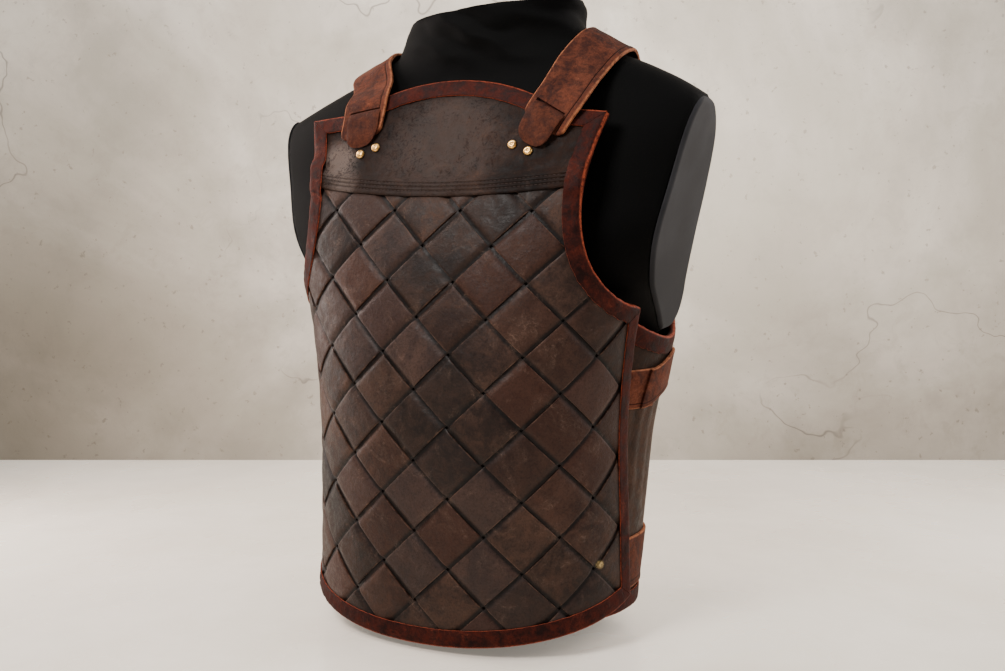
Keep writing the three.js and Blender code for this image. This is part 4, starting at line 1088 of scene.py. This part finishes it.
def make_form():
    levels = np.concatenate([np.arange(0, 280, 8.0), np.arange(280, 662, 3.5)])
    z, angle = np.meshgrid(levels, np.arange(192) / 192 * 2 * math.pi, indexing="ij")
    points = form_section(z.ravel(), angle.ravel()).reshape(*z.shape, 3)
    centre = points.mean(axis=1, keepdims=True)
    outward = points - centre
    outward[..., 2] = 0
    outward /= np.linalg.norm(outward, axis=-1, keepdims=True) + 1e-9
    around = np.arctan2(points[..., 1] - 20, points[..., 0]) * 90
    neck = smooth(z, 566, 600)
    folds = np.sin((z * 0.9 + around * 0.3) * 0.2 + 1.6 * ripple(around, z, 71, 110))
    folds = np.sign(folds) * np.abs(folds) ** 1.6
    pull = ripple(around * 0.7, z * 0.35, 72, 60)
    drape = neck * (2.3 * folds + 0.8) + smooth(z, 380, 450) * (1 - neck) * 0.5 * pull
    points += outward * drape[..., None]
    plane = arm_plane(points[..., 2])
    points[..., 0] = np.clip(points[..., 0], -plane, plane)
    top = NECK_CUT["z"] + NECK_CUT["slope"] * points[..., 0]
    over = points[..., 2] > top
    rim = np.argmax(over, axis=0)
    rows, columns = z.shape
    beyond = np.maximum(np.arange(rows)[:, None] - rim[None], 0)[..., None]
    at_rim = points[rim, np.arange(columns)]
    middle = at_rim.mean(axis=0)
    drawn_in = middle + (at_rim - middle) * np.clip(1 - 0.05 * beyond, 0, 1)
    points[..., :2] = np.where(over[..., None], drawn_in[..., :2], points[..., :2])
    points[..., 2] = np.where(over, NECK_CUT["z"] + NECK_CUT["slope"] * points[..., 0], points[..., 2])
    faces = tube_faces(rows, columns)
    piece = make_piece("dress_form_jersey", points.reshape(-1, 3), faces, None, "form", sharp=48)
    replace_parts(piece, "dress_form")


make_form()


def make_arm_plate(key, side):
    """The grey plate that covers the form's cut at the arm."""
    z = np.linspace(312, 548, 110)
    width, centre = ring_value(FORM_RINGS, "half_width", z), ring_value(FORM_RINGS, "centre", z)
    inside = np.clip(arm_plane(z + leaning(side * ARM_PLATE["middle"], z)) / width, 0, 1)

    def reach(depth, power):
        p = ring_value(FORM_RINGS, power, z)
        return ring_value(FORM_RINGS, depth, z) * (1 - inside ** p) ** (1 / p)

    y_front, y_back = centre - reach("front", "front_power"), centre + reach("back", "back_power")
    shown = (y_back - y_front) > 3
    z, y_front, y_back = z[shown], y_front[shown], y_back[shown]
    t = (1 - np.cos(np.linspace(0, math.pi, 40))) / 2
    y = y_front[:, None] + (y_back - y_front)[:, None] * t[None]
    rows = np.broadcast_to(z[:, None], y.shape)
    near = np.minimum(y - y_front[:, None], y_back[:, None] - y)
    near = np.minimum(near, np.minimum(rows - z[0], z[-1] - rows))
    seat = ARM_PLATE["seat"]
    lift = seat + (ARM_PLATE["thickness"] - seat) * np.sqrt(smooth(near, -0.5, 5))
    height = rows + leaning(side * ARM_PLATE["middle"], rows)
    x = arm_plane(height)
    slant = math.hypot(1, ARM_PLATE["lean"])

    def leaf(out):
        return np.stack([side * (x + out / slant), y, height - out * ARM_PLATE["lean"] / slant], axis=-1)

    uv = np.stack([y, rows], axis=-1) / 100
    piece = sheet_piece(f"arm_plate_{key}_jersey", leaf(lift), leaf(0.3 + 0 * lift), uv, "plate")
    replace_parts(piece, f"arm_plate_{key}")


make_arm_plate("left", 1)
make_arm_plate("right", -1)

# Room: a pale glossy floor and a plaster wall, square to the camera's heading
right, up, back = camera_axes()
heading = Vector((-back.x, -back.y, 0)).normalized()


def plaster():
    """Stained plaster, with painted shade at its lower left and its lower right."""
    n = Nodes("plaster")
    place = n.coordinates()
    sideways = n.along(place, tuple(right), "DOT_PRODUCT")
    height = n.add("ShaderNodeSeparateXYZ", {0: place}).outputs[2]
    # painted shade: the wall's colour is darkened towards its lower left
    shade = n.product(n.ramp(sideways, -0.1, -0.8), n.ramp(height, 0.75, 0.1))
    stain = n.noise(1.6, 6, 0.6, 0.5)
    cloud = n.noise(6, 8, 0.62, 0.2)
    colour = n.mix(n.ramp(stain, 0.35, 0.65), srgb(206, 198, 187), srgb(168, 160, 147))
    colour = n.mix(n.ramp(cloud, 0.46, 0.7, 0.0, 0.5), colour, srgb(150, 143, 131))
    veins = n.distance(n.noise(1.7, 5, 0.5, 0.3), 0.5)
    crack = n.product(n.ramp(veins, 0.0022, 0.0), n.ramp(n.noise(3.0, 3, 0.5), 0.42, 0.54))
    colour = n.mix(n.product(crack, 0.7), colour, srgb(112, 104, 96))
    blotch = n.ramp(n.noise(22, 9, 0.75, 0.6), 0.5, 0.66, 0.0, 0.32)
    colour = n.mix(blotch, colour, srgb(158, 149, 136))
    specks = n.ramp(n.noise(85, 4, 0.6), 0.64, 0.7, 0.0, 0.6)
    colour = n.mix(specks, colour, srgb(132, 122, 110))
    colour = n.mix(shade, colour, (0.45, 0.43, 0.4, 1.0), "MULTIPLY")
    # painted shade: the wall's colour is darkened towards its lower right
    low = n.ramp(height, 0.45, 0.0, 0.0, 0.8)
    corner = n.product(low, n.ramp(sideways, 0.2, 0.6))
    colour = n.mix(corner, colour, (0.5, 0.48, 0.45, 1.0), "MULTIPLY")
    return n.finish(colour, 0.9, n.bump(cloud, 0.3, 0.01), Emission_Color=colour, Emission_Strength=0.16)


def glossy_floor():
    """Pale floor with faint stains and specks."""
    n = Nodes("floor")
    stain = n.noise(2.4, 6, 0.6)
    colour = n.mix(n.ramp(stain, 0.35, 0.7), srgb(244, 235, 222), srgb(226, 216, 201))
    specks = n.ramp(n.noise(30, 5, 0.7), 0.66, 0.74, 0.0, 0.25)
    colour = n.mix(specks, colour, srgb(176, 168, 158))
    return n.finish(colour, n.ramp(n.noise(5, 4), 0.3, 0.7, 0.16, 0.34), n.bump(stain, 0.05, 0.01),
                    Emission_Color=colour, Emission_Strength=0.26)


def stage_plane(name, corners, material):
    mesh = bpy.data.meshes.new(name)
    mesh.from_pydata([tuple(c) for c in corners], [], [(0, 1, 2, 3)])
    mesh.materials.append(material)
    plane = bpy.data.objects.new(name, mesh)
    bpy.context.scene.collection.objects.link(plane)


WALL_DISTANCE, WALL_REACH, WALL_HEIGHT, FLOOR_DEPTH = 0.807, 6, 5, 6
wall_foot = heading * WALL_DISTANCE
foot_left, foot_right = wall_foot - right * WALL_REACH, wall_foot + right * WALL_REACH
rise, near = Vector((0, 0, WALL_HEIGHT)), heading * FLOOR_DEPTH
stage_plane("wall", [foot_left, foot_right, foot_right + rise, foot_left + rise], plaster())
stage_plane("floor", [foot_left - near, foot_right - near, foot_right, foot_left], glossy_floor())


# Lights. place is right, towards the camera and up from the object, in metres, and
# aim is in the frame of the scene.
def area_light(name, place, aim, size, power, colour):
    data = bpy.data.lights.new(name, "AREA")
    data.shape = "RECTANGLE"
    data.size, data.size_y = size
    data.energy = power
    data.color = colour
    light = bpy.data.objects.new(name, data)
    bpy.context.scene.collection.objects.link(light)
    spot = right * place[0] - heading * place[1] + Vector((0, 0, place[2]))
    light.location = spot
    light.rotation_euler = (Vector(aim) - spot).to_track_quat("-Z", "Y").to_euler()


MIDDLE = (0.0, 0.0, 0.32)
BESIDE = (wall_foot.x + 0.25 * right.x, wall_foot.y + 0.25 * right.y, 0.85)
WALL_MIDDLE = (wall_foot.x, wall_foot.y, 0.5)
for light in (
        ("key", (-0.62, 0.78, 1.12), (0.0, 0.0, 0.48), (0.4, 0.4), 18, (1.0, 0.95, 0.91)),
        ("fill", (1.5, 0.4, 1.05), (0.0, 0.0, 0.42), (0.9, 0.9), 13, (1.0, 0.95, 0.91)),
        ("rim left", (-0.8, -0.3, 0.6), MIDDLE, (0.25, 1.0), 10, (1.0, 0.88, 0.82)),
        ("rim right", (0.9, -0.35, 0.75), MIDDLE, (0.3, 1.0), 7, (1.0, 0.93, 0.88)),
        ("top", (0.0, 0.0, 1.5), MIDDLE, (1.0, 0.6), 2, (1.0, 0.97, 0.94)),
        ("wall glow", (0.16, -0.3, 0.5), BESIDE, (0.3, 0.3), 5.0, (1.0, 0.98, 0.95)),
        ("wall top", (0.1, 0.25, 1.9), WALL_MIDDLE, (1.8, 0.5), 9, (1.0, 0.98, 0.95))):
    area_light(*light)

world = bpy.context.scene.world or bpy.data.worlds.new("world")
bpy.context.scene.world = world
world.use_nodes = True
background = world.node_tree.nodes["Background"]
background.inputs["Color"].default_value = (0.9, 0.92, 0.95, 1.0)
background.inputs["Strength"].default_value = 0.34
